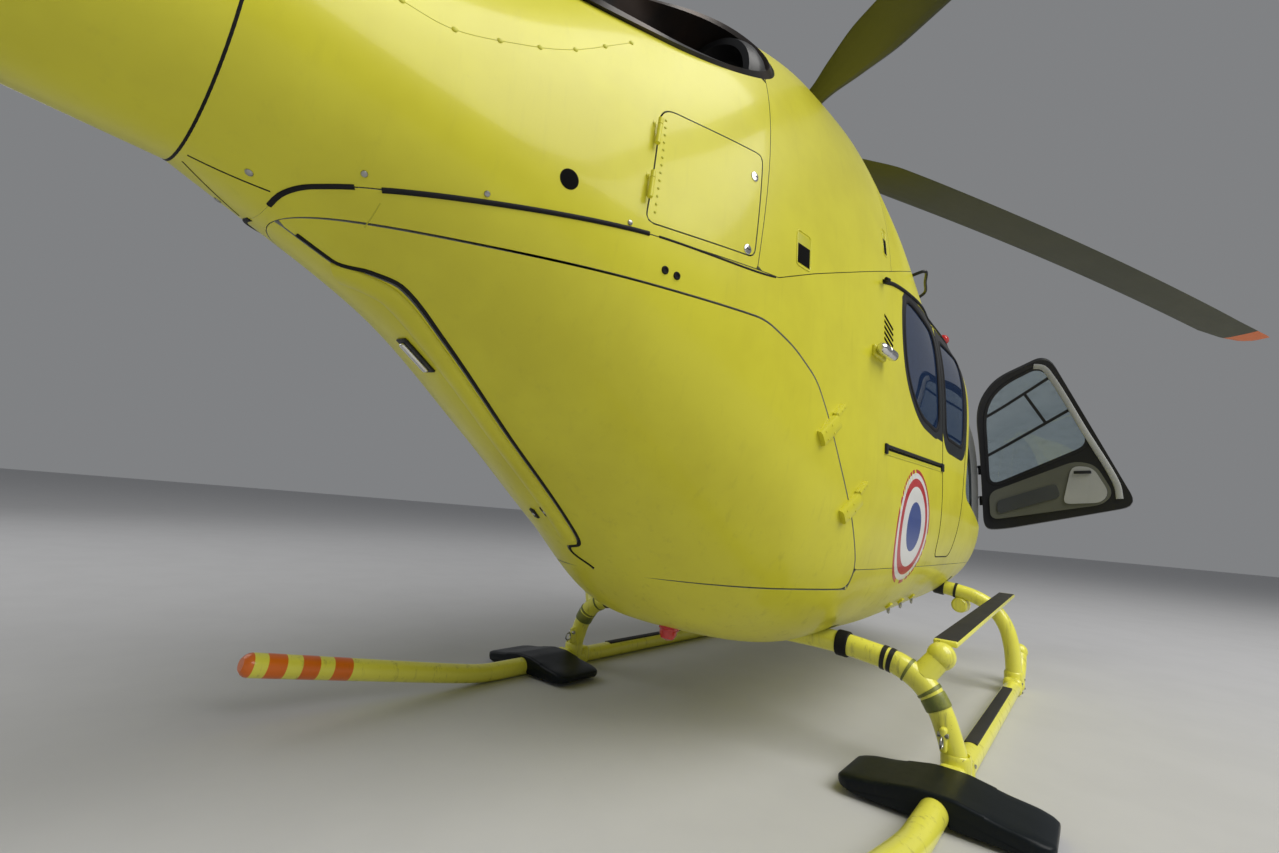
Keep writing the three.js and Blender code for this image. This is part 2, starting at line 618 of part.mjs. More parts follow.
const BLADE_ROWS = [
  { r: 188, chord: 118, thick: 52 }, { r: 420, chord: 130, thick: 48 },
  { r: 640, chord: 210, thick: 56 }, { r: 900, chord: 285, thick: 46 },
  { r: 1200, chord: 290, thick: 36 }, { r: 1900, chord: 290, thick: 34 },
  { r: 2700, chord: 290, thick: 34 }, { r: 3500, chord: 290, thick: 33 },
  { r: 4200, chord: 290, thick: 31 }, { r: 4650, chord: 286, thick: 28 },
  { r: 4900, chord: 250, thick: 22, back: 22 }, { r: 5060, chord: 190, thick: 16, back: 55 },
  { r: 5100, chord: 120, thick: 10, back: 85 },
];
const LENS = [
  [0.5, 0], [0.44, 0.42], [0.3, 0.8], [0.12, 1], [-0.12, 0.86], [-0.32, 0.5], [-0.46, 0.14],
  [-0.5, 0], [-0.46, -0.1], [-0.32, -0.3], [-0.12, -0.5], [0.12, -0.62], [0.3, -0.6], [0.44, -0.36],
];
function blade(azimuth) {
  const rings = BLADE_ROWS.map(({ r, chord, thick, back = 0 }) => {
    const z = ROTOR.z - ROTOR.droop * (r / ROTOR.radius) ** 2;
    return LENS.map(([c, h]) => [r, c * chord - back, z + (h * thick) / 2]);
  });
  const g = loft(rings);
  g.rotateZ(THREE.MathUtils.degToRad(azimuth));
  g.translate(ROTOR.x, 0, 0);
  return solid(g);
}
const hubAngles = [0, 1, 2, 3].map((k) => ROTOR.rest + k * BLADE_STEP);
const blades = hubAngles.map((a) => blade(a));
place("rotor_hub", hub, COLOURS.dark);
blades.forEach((m, k) => place(`rotor_blade_${k + 1}`, biggest(m.subtract(hubBlank)), COLOURS.olive));

// Tail boom, tailplane with end plates, and the fin with its ducted fan.
const ringAt = (x, y, z, ry, rz, n) => Array.from({ length: n }, (_, i) => {
  const a = (i / n) * Math.PI * 2;
  return [x, y + ry * Math.cos(a), z + rz * Math.sin(a)];
});
const boomAt = tableOf(BOOM);
const boomRings = range(-2450 - GAP, -5150, 7).map((x) => {
  const { radius, z } = boomAt(x);
  return ringAt(x, 0, z, radius, radius, 32);
});
const WING = [[0, 0], [0.03, 0.5], [0.12, 0.86], [0.3, 1], [0.55, 0.8], [0.8, 0.4], [1, 0.05]];
function tailplane(extra) {
  const { front, chord, thick, z, half } = TAILPLANE;
  const upperSide = WING.map(([u, h]) => [front + extra - u * (chord + 2 * extra), z + h * (thick / 2 + extra)]);
  const lowerSide = WING.slice(1).reverse()
    .map(([u, h]) => [front + extra - u * (chord + 2 * extra), z - h * (thick / 2 + extra)]);
  const outline = [...upperSide, ...lowerSide].filter((p, i, all) => {
    const q = all[(i + all.length - 1) % all.length];
    return Math.hypot(p[0] - q[0], p[1] - q[1]) > 0.5;
  });
  return prism(outline, -half, half);
}
function endPlate() {
  const rows = [
    { z: END_PLATE.low, front: TAILPLANE.front - 60, chord: END_PLATE.chordLow },
    { z: TAILPLANE.z, front: TAILPLANE.front + 40, chord: 560 },
    { z: END_PLATE.high, front: TAILPLANE.front - END_PLATE.sweep, chord: END_PLATE.chordHigh },
  ];
  const plan = [...WING.map(([u, h]) => [u, h]), ...WING.slice(1, -1).reverse().map(([u, h]) => [u, -h])];
  return solid(loft(rows.map(({ z, front, chord }) =>
    plan.map(([u, h]) => [front - u * chord, (h * END_PLATE.thick) / 2, z]))));
}
const plate = endPlate();
place("tail_boom", solid(loft(boomRings)).subtract(tailplane(GAP)), COLOURS.yellow);
place("tailplane", tailplane(0)
  .add(at(plate, 0, TAILPLANE.half, 0)).add(at(plate, 0, -TAILPLANE.half, 0)), COLOURS.yellow);

const finRings = FIN.map(({ z, front, back, thick }) => {
  const n = 10;
  const ring = [];
  for (let i = 0; i < 2 * n; i++) {
    const side = i < n ? 1 : -1;
    const k = i < n ? i : 2 * n - i;
    const u = (1 - Math.cos((Math.PI * k) / n)) / 2;
    const h = (4 * u * (1 - u)) ** 0.62;
    ring.push([front + (back - front) * u, (side * h * thick) / 2, z]);
  }
  return ring;
});
const neck = solid(loft([
  ringAt(-5150 - GAP, 0, 1972, 214, 214, 32), ringAt(-5330, 0, 1975, 205, 212, 32),
  ringAt(-5560, 0, 1980, 120, 205, 32),
]));
const duct = rod([FAN.x, -600, FAN.z], [FAN.x, 600, FAN.z], FAN.duct, FAN.duct, 56);
place("tail_fin", biggest(solid(loft(finRings)).add(neck).subtract(duct)), COLOURS.yellow);

function spoke(angle, r0, r1, chord, thick, y, pitch) {
  const g = new THREE.BoxGeometry(chord, thick, r1 - r0);
  g.rotateZ(THREE.MathUtils.degToRad(pitch));
  g.translate(0, 0, (r0 + r1) / 2);
  g.rotateY(THREE.MathUtils.degToRad(angle));
  g.translate(FAN.x, y, FAN.z);
  return solid(g);
}
const fanHub = rod([FAN.x, FAN.y - 45, FAN.z], [FAN.x, FAN.y + 45, FAN.z], FAN.hub, FAN.hub, 36);
let fan = fanHub.add(rod([FAN.x, FAN.y - 110, FAN.z], [FAN.x, FAN.y - 40, FAN.z], 60, 130, 24));
fan = fan.add(rod([FAN.x, FAN.y, FAN.z], [FAN.x, 5 - GAP, FAN.z], 42, 42, 20));
for (const angle of FAN_ANGLES) fan = fan.add(spoke(angle, 140, FAN.radius, 62, 12, FAN.y, 28));
place("tail_fan", fan, COLOURS.dark);
let stator = rod([FAN.x, 5, FAN.z], [FAN.x, 150, FAN.z], 150, 110, 36);
for (let k = 0; k < STATOR_COUNT; k++) {
  const angle = (k * 360) / STATOR_COUNT + 11;
  stator = stator.add(spoke(angle, 100, FAN.duct - 2.3, 60, 14, 70, -12));
}
place("tail_stator", stator.subtract(box(FAN.x - 200, FAN.x + 200, -100, 4.9, 1600, 2000)), COLOURS.dark);

// Landing gear.
const ball = (x, y, z, r) => {
  const g = new THREE.SphereGeometry(r, 14, 9);
  g.translate(x, y, z);
  return solid(g);
};
const skidPath = (r) => tube(SKID.map(([x, z]) => [x, -TRACK, z]), r, 24, 10);
const skid = skidPath(TUBE).add(ball(SKID[0][0], -TRACK, SKID[0][1], 53));
const skidBlank = skidPath(TUBE + GAP);
const crossTube = (x, half) =>
  biggest(arch(x, half, TUBE).subtract(skidBlank).subtract(mirrorY(skidBlank)));
const aftTube = crossTube(0, AFT_TUBE);
const frontTube = crossTube(FRONT_TUBE_X, FRONT_TUBE);
pair("skid_tube", skid, COLOURS.yellow);
place("cross_tube_aft", aftTube, COLOURS.yellow);
place("cross_tube_front", frontTube, COLOURS.yellow);

function stepBoard() {
  const [a, b] = [STEP.from, STEP.to];
  const rise = Math.atan2(b[2] - a[2], b[0] - a[0]);
  const g = new THREE.BoxGeometry(Math.hypot(b[0] - a[0], b[2] - a[2]), STEP.width, STEP.thick);
  g.rotateY(-rise);
  g.translate((a[0] + b[0]) / 2, (a[1] + b[1]) / 2, (a[2] + b[2]) / 2);
  return solid(g)
    .add(ball(...BALL.at, BALL.radius))
    .add(rod(BALL.at, [5, -915, 388], 46, 50, 20))
    .add(rod([FRONT_TUBE_X, -985, 590], [FRONT_TUBE_X, -945, 520], 26, 30, 16))
    .subtract(aftBlank).subtract(frontBlank);
}
pair("step", biggest(stepBoard()), COLOURS.yellow);

function paw() {
  const { half, foot, crown, passage } = PAW;
  const inner = TUBE + GAP;
  const down = [];
  for (let k = 0; k <= 10; k++) {
    const a = (Math.PI * k) / 10;
    down.push([Math.cos(a) * inner, SKID_Z + Math.sin(a) * inner]);
  }
  const zl = SKID_Z - foot;
  const top = SKID_Z + TUBE + crown;
  const outline = [
    [-half, zl + 10], [-half, SKID_Z + 2], [-half + 40, SKID_Z + 26], [-passage - 40, top - 8],
    [-passage, top], [passage, top], [passage + 40, top - 8], [half - 40, SKID_Z + 26],
    [half, SKID_Z + 2], [half, zl + 10], [half - 30, zl],
    [inner, zl], ...down, [-inner, zl], [-half + 30, zl],
  ];
  const shape = new THREE.Shape(outline.map(([y, z]) => new THREE.Vector2(y, z)));
  const g = new THREE.ExtrudeGeometry(shape, { depth: PAW.length, bevelEnabled: false });
  g.rotateX(Math.PI / 2);
  g.rotateZ(Math.PI / 2);
  g.translate(PAW.x - PAW.length / 2, -TRACK, 0);
  return solid(g);
}
pair("ground_plate", paw(), COLOURS.dark);

// Cabin fittings.
const PILOT_SEAT = [
  [2160, FLOOR], [2150, 1010], [2220, 1110], [2220, 1180], [1890, 1150], [1800, 1860], [1770, 1920],
  [1700, 1920], [1680, 1860], [1760, 1060], [1790, FLOOR],
];
const BENCH = [
  [860, FLOOR], [870, 1110], [900, 1180], [520, 1150], [450, 1800], [360, 1800], [400, 1100], [440, FLOOR],
];
pair("pilot_seat", prism(PILOT_SEAT, -610, -170), COLOURS.seat);
place("rear_bench", prism(BENCH, -600, 600), COLOURS.seat);
place("instrument_panel", prism([[2610, FLOOR], [2610, 1130], [2640, 1180], [2640, 1500], [2500, 1470],
  [2460, 1180], [2300, 1080], [2240, FLOOR]], -110, 110)
  .add(prism([[2640, 1180], [2640, 1500], [2500, 1470], [2460, 1180]], -470, 470)), COLOURS.dark);

// Tail bumper under the duct.
place("tail_bumper", biggest(
  tube([[-5560, 0, 1290], [-5700, 0, 1150], [-5960, 0, 1100], [-6260, 0, 1120]], 16, 14, 8)
    .subtract(solid(loft(finRings)))), COLOURS.black);

// Everything stands over the middle of its own floor rectangle.
const object = new THREE.Group();
object.name = "rescue_helicopter";
for (const { name, m, colour } of nodes) {
  const mesh = m.simplify(0.1).getMesh();
  const g = new THREE.BufferGeometry();
  g.setAttribute("position", new THREE.BufferAttribute(new Float32Array(mesh.vertProperties), 3));
  g.setIndex(new THREE.BufferAttribute(new Uint32Array(mesh.triVerts), 1));
  g.computeVertexNormals();
  const part = new THREE.Mesh(g, new THREE.MeshStandardMaterial({ color: colour, roughness: 0.5 }));
  part.name = name;
  object.add(part);
}
const bounds = new THREE.Box3().setFromObject(object);
const shift = new THREE.Vector3(
  -(bounds.min.x + bounds.max.x) / 2, -(bounds.min.y + bounds.max.y) / 2, -bounds.min.z,
);
for (const part of object.children) part.geometry.translate(shift.x, shift.y, shift.z);
export default object;
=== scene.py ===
"""A light twin rescue helicopter: the finished skin, glass, gear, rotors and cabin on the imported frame.

Lengths written as whole numbers, and the skid's height among them, are millimetres; those with a decimal
point are metres. On the drawing x runs forward from the aft cross tube, y to port and z up. SHIFT takes a
drawing point to the frame, and is worked out from the rear bench.
"""
import json
import math

import bmesh
import bpy
import numpy as np
from mathutils import Matrix, Vector


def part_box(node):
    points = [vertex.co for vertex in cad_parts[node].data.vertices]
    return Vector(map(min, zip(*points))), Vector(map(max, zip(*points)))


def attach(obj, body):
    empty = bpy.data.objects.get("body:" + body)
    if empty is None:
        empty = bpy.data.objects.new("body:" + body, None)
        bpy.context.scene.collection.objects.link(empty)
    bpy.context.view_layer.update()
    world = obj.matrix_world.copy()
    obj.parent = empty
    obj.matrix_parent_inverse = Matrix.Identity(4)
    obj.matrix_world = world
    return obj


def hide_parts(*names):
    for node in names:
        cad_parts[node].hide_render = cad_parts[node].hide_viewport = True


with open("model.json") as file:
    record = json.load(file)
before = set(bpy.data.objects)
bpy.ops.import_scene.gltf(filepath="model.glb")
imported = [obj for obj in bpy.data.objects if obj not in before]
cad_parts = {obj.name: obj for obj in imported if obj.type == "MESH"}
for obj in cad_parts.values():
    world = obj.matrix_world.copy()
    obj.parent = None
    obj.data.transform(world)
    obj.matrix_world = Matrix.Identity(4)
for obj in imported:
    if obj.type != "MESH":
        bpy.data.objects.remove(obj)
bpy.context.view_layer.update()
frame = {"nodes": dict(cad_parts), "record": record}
MM = 0.001
SHIFT = np.array(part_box("rear_bench")[0]) - (0.360, -0.600, 0.800)

# The body: at each x the lowest, widest and highest point, half width, and the two roundness exponents.
BODY_ROWS = (
    (3400, 1020, 1120, 1200, 60, 2.0, 2.0), (3280, 840, 1120, 1440, 330, 2.1, 2.1),
    (3050, 700, 1140, 1740, 540, 2.2, 2.3), (2700, 580, 1180, 2120, 720, 2.4, 2.8),
    (2250, 490, 1220, 2410, 815, 2.6, 3.7), (1700, 440, 1280, 2500, 830, 2.6, 4.0),
    (900, 430, 1340, 2540, 820, 3.0, 3.9), (300, 430, 1440, 2960, 810, 3.4, 3.3),
    (-200, 420, 1540, 3040, 800, 3.4, 3.3), (-600, 490, 1640, 3030, 760, 2.9, 3.2),
    (-1050, 790, 1740, 2930, 690, 2.4, 2.9), (-1500, 1120, 1810, 2730, 570, 2.2, 2.6),
    (-1950, 1420, 1870, 2460, 430, 2.05, 2.2), (-2450, 1620, 1920, 2220, 300, 2.0, 2.0),
)
# The gearbox hump on the roof: x, height, half width.
HUMP_ROWS = (
    (2020, 2440, 200), (1880, 2520, 330), (1780, 2600, 430), (1500, 2780, 520), (1100, 2930, 570),
    (600, 3035, 595), (250, 3050, 590), (-150, 2985, 530),
)
HUMP_BASE = 2.38
HUMP_BLEND = 0.06
NOSE_START = 3.2
NOSE_X = 3.40
NOSE_CAP = 0.02
TAIL_X = -2.45
SPINE_HALF = 0.13
COWL_FRONT_X = -0.06

# Lines and outlines of the side view: x and height.
DECK = ((-2460, 1575), (-2290, 1580), (-2110, 1620), (-1570, 1710), (-1020, 1760), (-810, 1850),
        (-80, 2140), (160, 2240), (450, 2360), (750, 2415), (1950, 2415))
WINDSHIELD = ((3600, 1345), (3200, 1290), (2650, 1165), (2610, 1880), (2500, 2110), (2320, 2310),
              (2200, 2385), (2200, 2700), (3600, 2700))
PILOT_DOOR = ((2500, 1050), (2500, 1930), (2450, 2080), (2330, 2220), (1990, 2350), (1575, 1240),
              (2390, 1050))
PILOT_WINDOW = ((2450, 1375), (2450, 1915), (2408, 2058), (2302, 2172), (2038, 2292), (1795, 1676))
SLIDING_DOOR = ((920, 850), (920, 2215), (1870, 2300), (1430, 1080), (1340, 850))
SLIDING_WINDOW = ((1000, 1540), (1000, 2140), (1735, 2205), (1505, 1540))
REAR_WINDOW = ((150, 2080), (130, 1880), (200, 1700), (420, 1560), (840, 1530), (840, 2130), (260, 2120))
CLAMSHELL = ((-2700, 1520), (-2220, 1552), (-1070, 1600), (-910, 1550), (-760, 1470), (-660, 1350),
             (-410, 1010), (-280, 810), (-280, 720), (-960, 720), (-1500, 300), (-2700, 300))
SERVICE_DOOR = ((-1556, 1745), (-1530, 2085), (-1500, 2115), (-1118, 2155), (-1146, 1785))
COWL_AFT = ((-1134, 1700), (-950, 3300))
HULL = ((-965, 200), (-965, 718), (-275, 718), (-275, 800), (2620, 800), (2620, 200))
NOSE = ((2620, 200), (2620, 1158), (2650, 1164), (3200, 1289), (3600, 1344), (3600, 200))
FLOOR_Z = 0.80
# The foot and head of each starboard hinge's line, its opening angle in degrees, and its knuckles' radius.
HINGES = {
    "pilot": ((2512, -800, 1050), (2502, -772, 1900), 85, 11),
    "clamshell": ((-345, -777, 1030), (-672, -759, 1420), 88, 9),
    "service": ((-1570, -568, 1745), (-1544, -568, 2090), 95, 8),
}
# The starboard exhaust pipe; turn is in degrees.
PIPE = {"y": -0.395, "z": 2.56, "outer": 0.215, "inner": 0.198, "front": -0.975, "end": -2.30,
        "turn": 5.0, "end_z": 2.62, "proud": 0.014, "gap": 0.002, "hole_front": -0.90}
TRACK = 1.045
TUBE = 0.0461
# The cross tubes' half paths: y and height.
AFT_TUBE = ((0, 462), (540, 462), (710, 445), (840, 418), (930, 362), (985, 283), (1020, 190), (1040, 112),
            (1045, 50))
FRONT_TUBE = ((0, 632), (500, 632), (700, 608), (830, 579), (930, 522), (1000, 424), (1035, 290),
              (1045, 112), (1045, 50))
FRONT_TUBE_X = 1.97
SKID_Z = 53.836
SKID_HIGH = SKID_Z * MM
# The skid's path: x and height.
SKID = ((2310, 224), (2245, 131), (2140, 71), (2010, SKID_Z), (1900, SKID_Z), (600, SKID_Z), (-560, SKID_Z),
        (-660, 57), (-760, 69), (-1800, 262))
# The boom: x, radius, height of its middle.
BOOM_ROWS = ((-2450, 300, 1920), (-3100, 283, 1935), (-4000, 252, 1952), (-5150, 215, 1972))
# The fin: height, front edge, rear edge, thickness.
FIN_ROWS = (
    (1188, -5690, -5960, 110), (1210, -5560, -6090, 230), (1270, -5400, -6240, 320),
    (1400, -5250, -6390, 380), (1600, -5180, -6480, 410), (1850, -5165, -6520, 420),
    (2100, -5190, -6560, 400), (2300, -5330, -6590, 340), (2450, -5600, -6620, 260),
    (2650, -5830, -6650, 200), (3050, -6040, -6710, 160), (3480, -6240, -6770, 110),
    (3510, -6300, -6760, 50),
)
FAN_PLACE = (-5.82, 1.80)
FAN_RADIUS = 0.49
DUCT_RADIUS = 0.50
FAN_ANGLES = (0, 33, 71, 108, 142, 180, 213, 251, 288, 322)
# The main rotor; rest is the first blade's angle in degrees.
ROTOR = {"x": 0.26, "z": 3.32, "radius": 5.1, "droop": 0.35, "rest": -31.0}
ORANGE_TIP = 4.90
# A blade: radius, chord, thickness, how far its middle is swept back.
BLADE_ROWS = (
    (188, 118, 52, 0), (420, 130, 48, 0), (640, 210, 56, 0), (900, 285, 46, 0), (1200, 290, 36, 0),
    (1900, 290, 34, 0), (2700, 290, 34, 0), (3500, 290, 33, 0), (4200, 290, 31, 0), (4650, 286, 28, 0),
    (4900, 250, 22, 22), (5060, 190, 16, 55), (5100, 120, 10, 85),
)
# Sections, as shares of the chord and of the thickness.
BLADE_SECTION = (
    (0.5, 0), (0.44, 0.42), (0.3, 0.8), (0.12, 1), (-0.12, 0.86), (-0.32, 0.5), (-0.46, 0.14), (-0.5, 0),
    (-0.46, -0.1), (-0.32, -0.3), (-0.12, -0.5), (0.12, -0.62), (0.3, -0.6), (0.44, -0.36),
)
WING_SECTION = ((0, 0), (0.03, 0.5), (0.12, 0.86), (0.3, 1), (0.55, 0.8), (0.8, 0.4), (1, 0.05))
# The tailplane's end plates: height, front edge, chord.
PLATE_ROWS = ((1640, -4540, 420), (1985, -4440, 560), (2430, -4610, 430))
SIDES = (("right", -1), ("left", 1))

# Thicknesses and gaps that several pieces share
CABIN_WALL = 0.045
SHEET = 0.012
FILM = {"thick": 0.0022, "proud": 0.0007}
GLASS_GAP = 0.002
PANE_SEAM = -0.001


# Curves

def millimetres(rows):
    """The same rows as an array in metres."""
    return np.array(rows, float) * MM


def monotone(xs, ys):
    """A smooth curve through the points that never overshoots: cubic Hermite pieces whose slopes are the
    weighted harmonic mean of the two neighbouring chords, zero where those differ in sign."""
    order = np.argsort(xs)
    xs, ys = np.asarray(xs, float)[order], np.asarray(ys, float)[order]
    width, chord = np.diff(xs), np.diff(ys) / np.diff(xs)
    ahead, back = 2 * width[1:] + width[:-1], width[1:] + 2 * width[:-1]
    same = chord[:-1] * chord[1:] > 0
    left, right = np.where(same, chord[:-1], 1), np.where(same, chord[1:], 1)
    inner = np.where(same, (ahead + back) / (ahead / left + back / right), 0)
    slope = np.concatenate([[chord[0]], inner, [chord[-1]]])

    def value(x):
        i = np.clip(np.searchsorted(xs, x) - 1, 0, len(width) - 1)
        t = (x - xs[i]) / width[i]
        start = ys[i] * (1 + 2 * t) * (1 - t) ** 2 + slope[i] * width[i] * t * (1 - t) ** 2
        return start + ys[i + 1] * t * t * (3 - 2 * t) + slope[i + 1] * width[i] * t * t * (t - 1)

    return value


def flowing(points, count):
    """A smooth path through the points: centripetal Catmull-Rom pieces, each a cubic whose end slopes are
    the neighbouring chords weighted by the square root of their lengths, sampled count times in all."""
    p = np.asarray(points, float)
    p = np.vstack([2 * p[0] - p[1], p, 2 * p[-1] - p[-2]])
    step = np.sqrt(np.linalg.norm(np.diff(p, axis=0), axis=1))[:, None]
    chord = np.diff(p, axis=0) / step
    slope = chord[:-1] - (p[2:] - p[:-2]) / (step[:-1] + step[1:]) + chord[1:]
    middle = p[1:-1]
    s = np.linspace(0, len(middle) - 1, count)
    i = np.minimum(s.astype(int), len(middle) - 2)
    t = (s - i)[:, None]
    gap = step[1:-1][i]
    return (middle[i] * (1 + 2 * t) * (1 - t) ** 2 + slope[i] * gap * t * (1 - t) ** 2
            + middle[i + 1] * t * t * (3 - 2 * t) + slope[i + 1] * gap * t * t * (t - 1))


def rounded(outline, radius):
    """A closed outline with each corner replaced by a quadratic curve that starts and ends a radius from
    the corner, or at about half the edge where the edge is short."""
    p = np.asarray(outline, float)
    before, after = np.roll(p, 1, 0) - p, np.roll(p, -1, 0) - p
    long_b, long_a = (np.linalg.norm(v, axis=1) for v in (before, after))
    start = p + before / long_b[:, None] * np.minimum(radius, long_b * 0.48)[:, None]
    end = p + after / long_a[:, None] * np.minimum(radius, long_a * 0.48)[:, None]
    t = np.linspace(0, 1, 7)[None, :, None]
    curve = start[:, None] * (1 - t) ** 2 + 2 * t * (1 - t) * p[:, None] + end[:, None] * t ** 2
    return curve.reshape(-1, p.shape[1])


def spread(path, step, closed=False):
    """The same path with points an even step apart, by straight interpolation along its length."""
    p = np.vstack([path, path[:1]]) if closed else np.asarray(path, float)
    run = np.concatenate([[0], np.cumsum(np.linalg.norm(np.diff(p, axis=0), axis=1))])
    count = max(2, int(round(run[-1] / step)) + 1)
    at = np.linspace(0, run[-1], count)[: -1 if closed else None]
    return np.stack([np.interp(at, run, p[:, k]) for k in range(p.shape[1])], 1)


def angles(count):
    """Even angles once round."""
    return np.linspace(0, 2 * np.pi, count, endpoint=False)


def circle(radius, count):
    """Points round a circle, anticlockwise."""
    a = angles(count)
    return np.stack([np.cos(a), np.sin(a)], 1) * radius


def curves(rows, *columns):
    """Each named column as a smooth curve over the first column."""
    return [monotone(rows[:, 0], rows[:, k]) for k in columns]


def halved(place, low, high, short):
    """The angle where short(angle) stops being true, found by halving thirty times."""
    low, high = np.full(place.shape, low), np.full(place.shape, high)
    for _ in range(30):
        mid = (low + high) / 2
        still = short(mid)
        low, high = np.where(still, mid, low), np.where(still, high, mid)
    return low


def grid(first, second, closed):
    """Two parameters on a grid, and its triangles; closed joins the last column to the first."""
    n, m = len(first), len(second)
    params = np.stack(np.meshgrid(first, second, indexing="ij"), -1).reshape(-1, 2)
    i, j = np.meshgrid(np.arange(n - 1), np.arange(m if closed else m - 1), indexing="ij")
    k = (j + 1) % m
    a, b, c, d = i * m + j, i * m + k, (i + 1) * m + k, (i + 1) * m + j
    return params, np.concatenate([np.stack(q, -1).reshape(-1, 3) for q in ((a, b, c), (a, c, d))])


# The body's skin

BODY = np.array(BODY_ROWS, float)
LOW, BELT, HIGH, HALF = (monotone(BODY[:, 0] * MM, BODY[:, k] * MM) for k in (1, 2, 3, 4))
UNDER, OVER = (monotone(BODY[:, 0] * MM, BODY[:, k]) for k in (5, 6))
HUMP = millimetres(HUMP_ROWS)
HUMP_HIGH, HUMP_HALF = curves(HUMP, 1, 2)
DECK_Z = monotone(*millimetres(DECK).T)


def hump_reach(x, c, s, belt):
    """How far the roof hump reaches along each ray from the belt: the root of a cubic superellipse in the
    half width and the height over its base, found by halving; zero where the ray misses it."""
    top, half = HUMP_HIGH(x) - HUMP_BASE, HUMP_HALF(x)
    rise = np.maximum(s, 0.05)
    near, far = (HUMP_BASE - belt) / rise, (HUMP_BASE + top - belt) / rise
    hit = (s > 0.05) & (np.abs(near * c) < half) & (x < HUMP[0, 0]) & (x > HUMP[-1, 0]) & (top > 0)
    start = near
    for _ in range(24):
        mid = (near + far) / 2
        height = np.maximum((belt + mid * s - HUMP_BASE) / top, 0)
        inside = np.abs(mid * c / half) ** 3 + height ** 3 < 1
        near, far = np.where(inside, mid, near), np.where(inside, far, mid)
    return np.where(hit, np.maximum(near, start), 0)


def skin(u, turn):
    """The outer skin at length u and angle turn about the belt line: a superellipse whose exponent and
    span change above and below the belt, blended with the hump by a short smooth maximum. Past the nose
    the section shrinks on a circle to a point."""
    x = np.minimum(u, NOSE_X)
    tip = np.clip((u - NOSE_X) / NOSE_CAP, 0, 1)
    belt, c, s = BELT(x), np.cos(turn), np.sin(turn)
    power = np.where(s < 0, UNDER(x), OVER(x))
    span = np.where(s < 0, belt - LOW(x), HIGH(x) - belt)
    reach = (np.abs(c / HALF(x)) ** power + np.abs(s / span) ** power) ** (-1 / power)
    hump = hump_reach(x, c, s, belt)
    near = np.maximum(HUMP_BLEND - np.abs(reach - hump), 0) / HUMP_BLEND
    reach = np.maximum(reach, hump) + near * near * HUMP_BLEND / 4 * (hump > 0)
    reach = reach * np.sqrt(1 - tip * tip)
    return np.stack([x + NOSE_CAP * tip, reach * c, belt + reach * s], -1)


def skin_normal(u, turn):
    """The unit outward normal: the cross product of small steps round and along the skin."""
    e = 0.002
    u = np.clip(u, TAIL_X + 2 * e, NOSE_X + NOSE_CAP - 2 * e)
    n = np.cross(skin(u, turn + e) - skin(u, turn - e), skin(u + e, turn) - skin(u - e, turn))
    return n / np.linalg.norm(n, axis=-1)[..., None]


def on_skin(x, z, side):
    """The skin's point and normal at a place of the side view, found by halving the angle; side is -1 to
    starboard and 1 to port."""
    x, z = np.broadcast_arrays(np.asarray(x, float), np.asarray(z, float))
    turn = halved(x, -np.pi / 2, np.pi / 2, lambda t: skin(x, t)[..., 2] < z)
    flip = np.array([1, side, 1])
    return skin(x, turn) * flip, skin_normal(x, turn) * flip


def skin_half(x, z):
    """The skin's half width at a place of the side view."""
    return on_skin(x, z, 1)[0][..., 1]


def even_turns(count):
    """Angles whose steps are equal lengths round the cabin's section, from the keel right round."""
    fine = np.linspace(-np.pi / 2, 3 * np.pi / 2, 4001)
    ring = skin(np.full(fine.shape, 0.9), fine)
    run = np.concatenate([[0], np.cumsum(np.linalg.norm(np.diff(ring, axis=0), axis=1))])
    return np.interp(np.linspace(0, run[-1], count, endpoint=False), run, fine)


def skin_grid(step, around):
    """The skin's parameter grid and its triangles, closed round the body and to one point at the nose."""
    body = np.arange(TAIL_X, NOSE_START, step)
    cap = NOSE_X + NOSE_CAP * np.sin(np.linspace(0.2, np.pi / 2, 7))
    lengths = np.concatenate([body, np.linspace(NOSE_START, NOSE_X, 24), cap])
    params, tris = grid(lengths, even_turns(around), True)
    tris = np.minimum(tris, len(params) - around)
    whole = (tris[:, 0] != tris[:, 1]) & (tris[:, 1] != tris[:, 2]) & (tris[:, 2] != tris[:, 0])
    return params, tris[whole]


SKIN_PARAMS, SKIN_TRIS = skin_grid(0.021, 300)
SKIN_POINTS = skin(*SKIN_PARAMS.T)


def within(points, outline):
    """The signed distance in the side view from each point to a closed outline, positive inside: the
    nearest edge's distance, with the sign of the crossing count. Far points get a fixed negative value."""
    edge = np.asarray(outline, float)
    p = points[:, [0, 2]]
    margin = 0.12
    near = np.all((p > edge.min(0) - margin) & (p < edge.max(0) + margin), axis=1)
    q, a = p[near][:, None], edge[None]
    b = np.roll(edge, -1, 0)[None]
    along = np.clip(((q - a) * (b - a)).sum(-1) / ((b - a) ** 2).sum(-1), 0, 1)
    gap = np.linalg.norm(q - a - along[..., None] * (b - a), axis=-1).min(1)
    crosses = (a[..., 1] > q[..., 1]) != (b[..., 1] > q[..., 1])
    rise = np.where(b[..., 1] == a[..., 1], 1, b[..., 1] - a[..., 1])
    at = a[..., 0] + (q[..., 1] - a[..., 1]) / rise * (b[..., 0] - a[..., 0])
    odd = (crosses & (q[..., 0] < at)).sum(1) % 2 == 1
    result = np.full(len(p), -margin)
    result[near] = np.where(odd, gap, -gap)
    return result


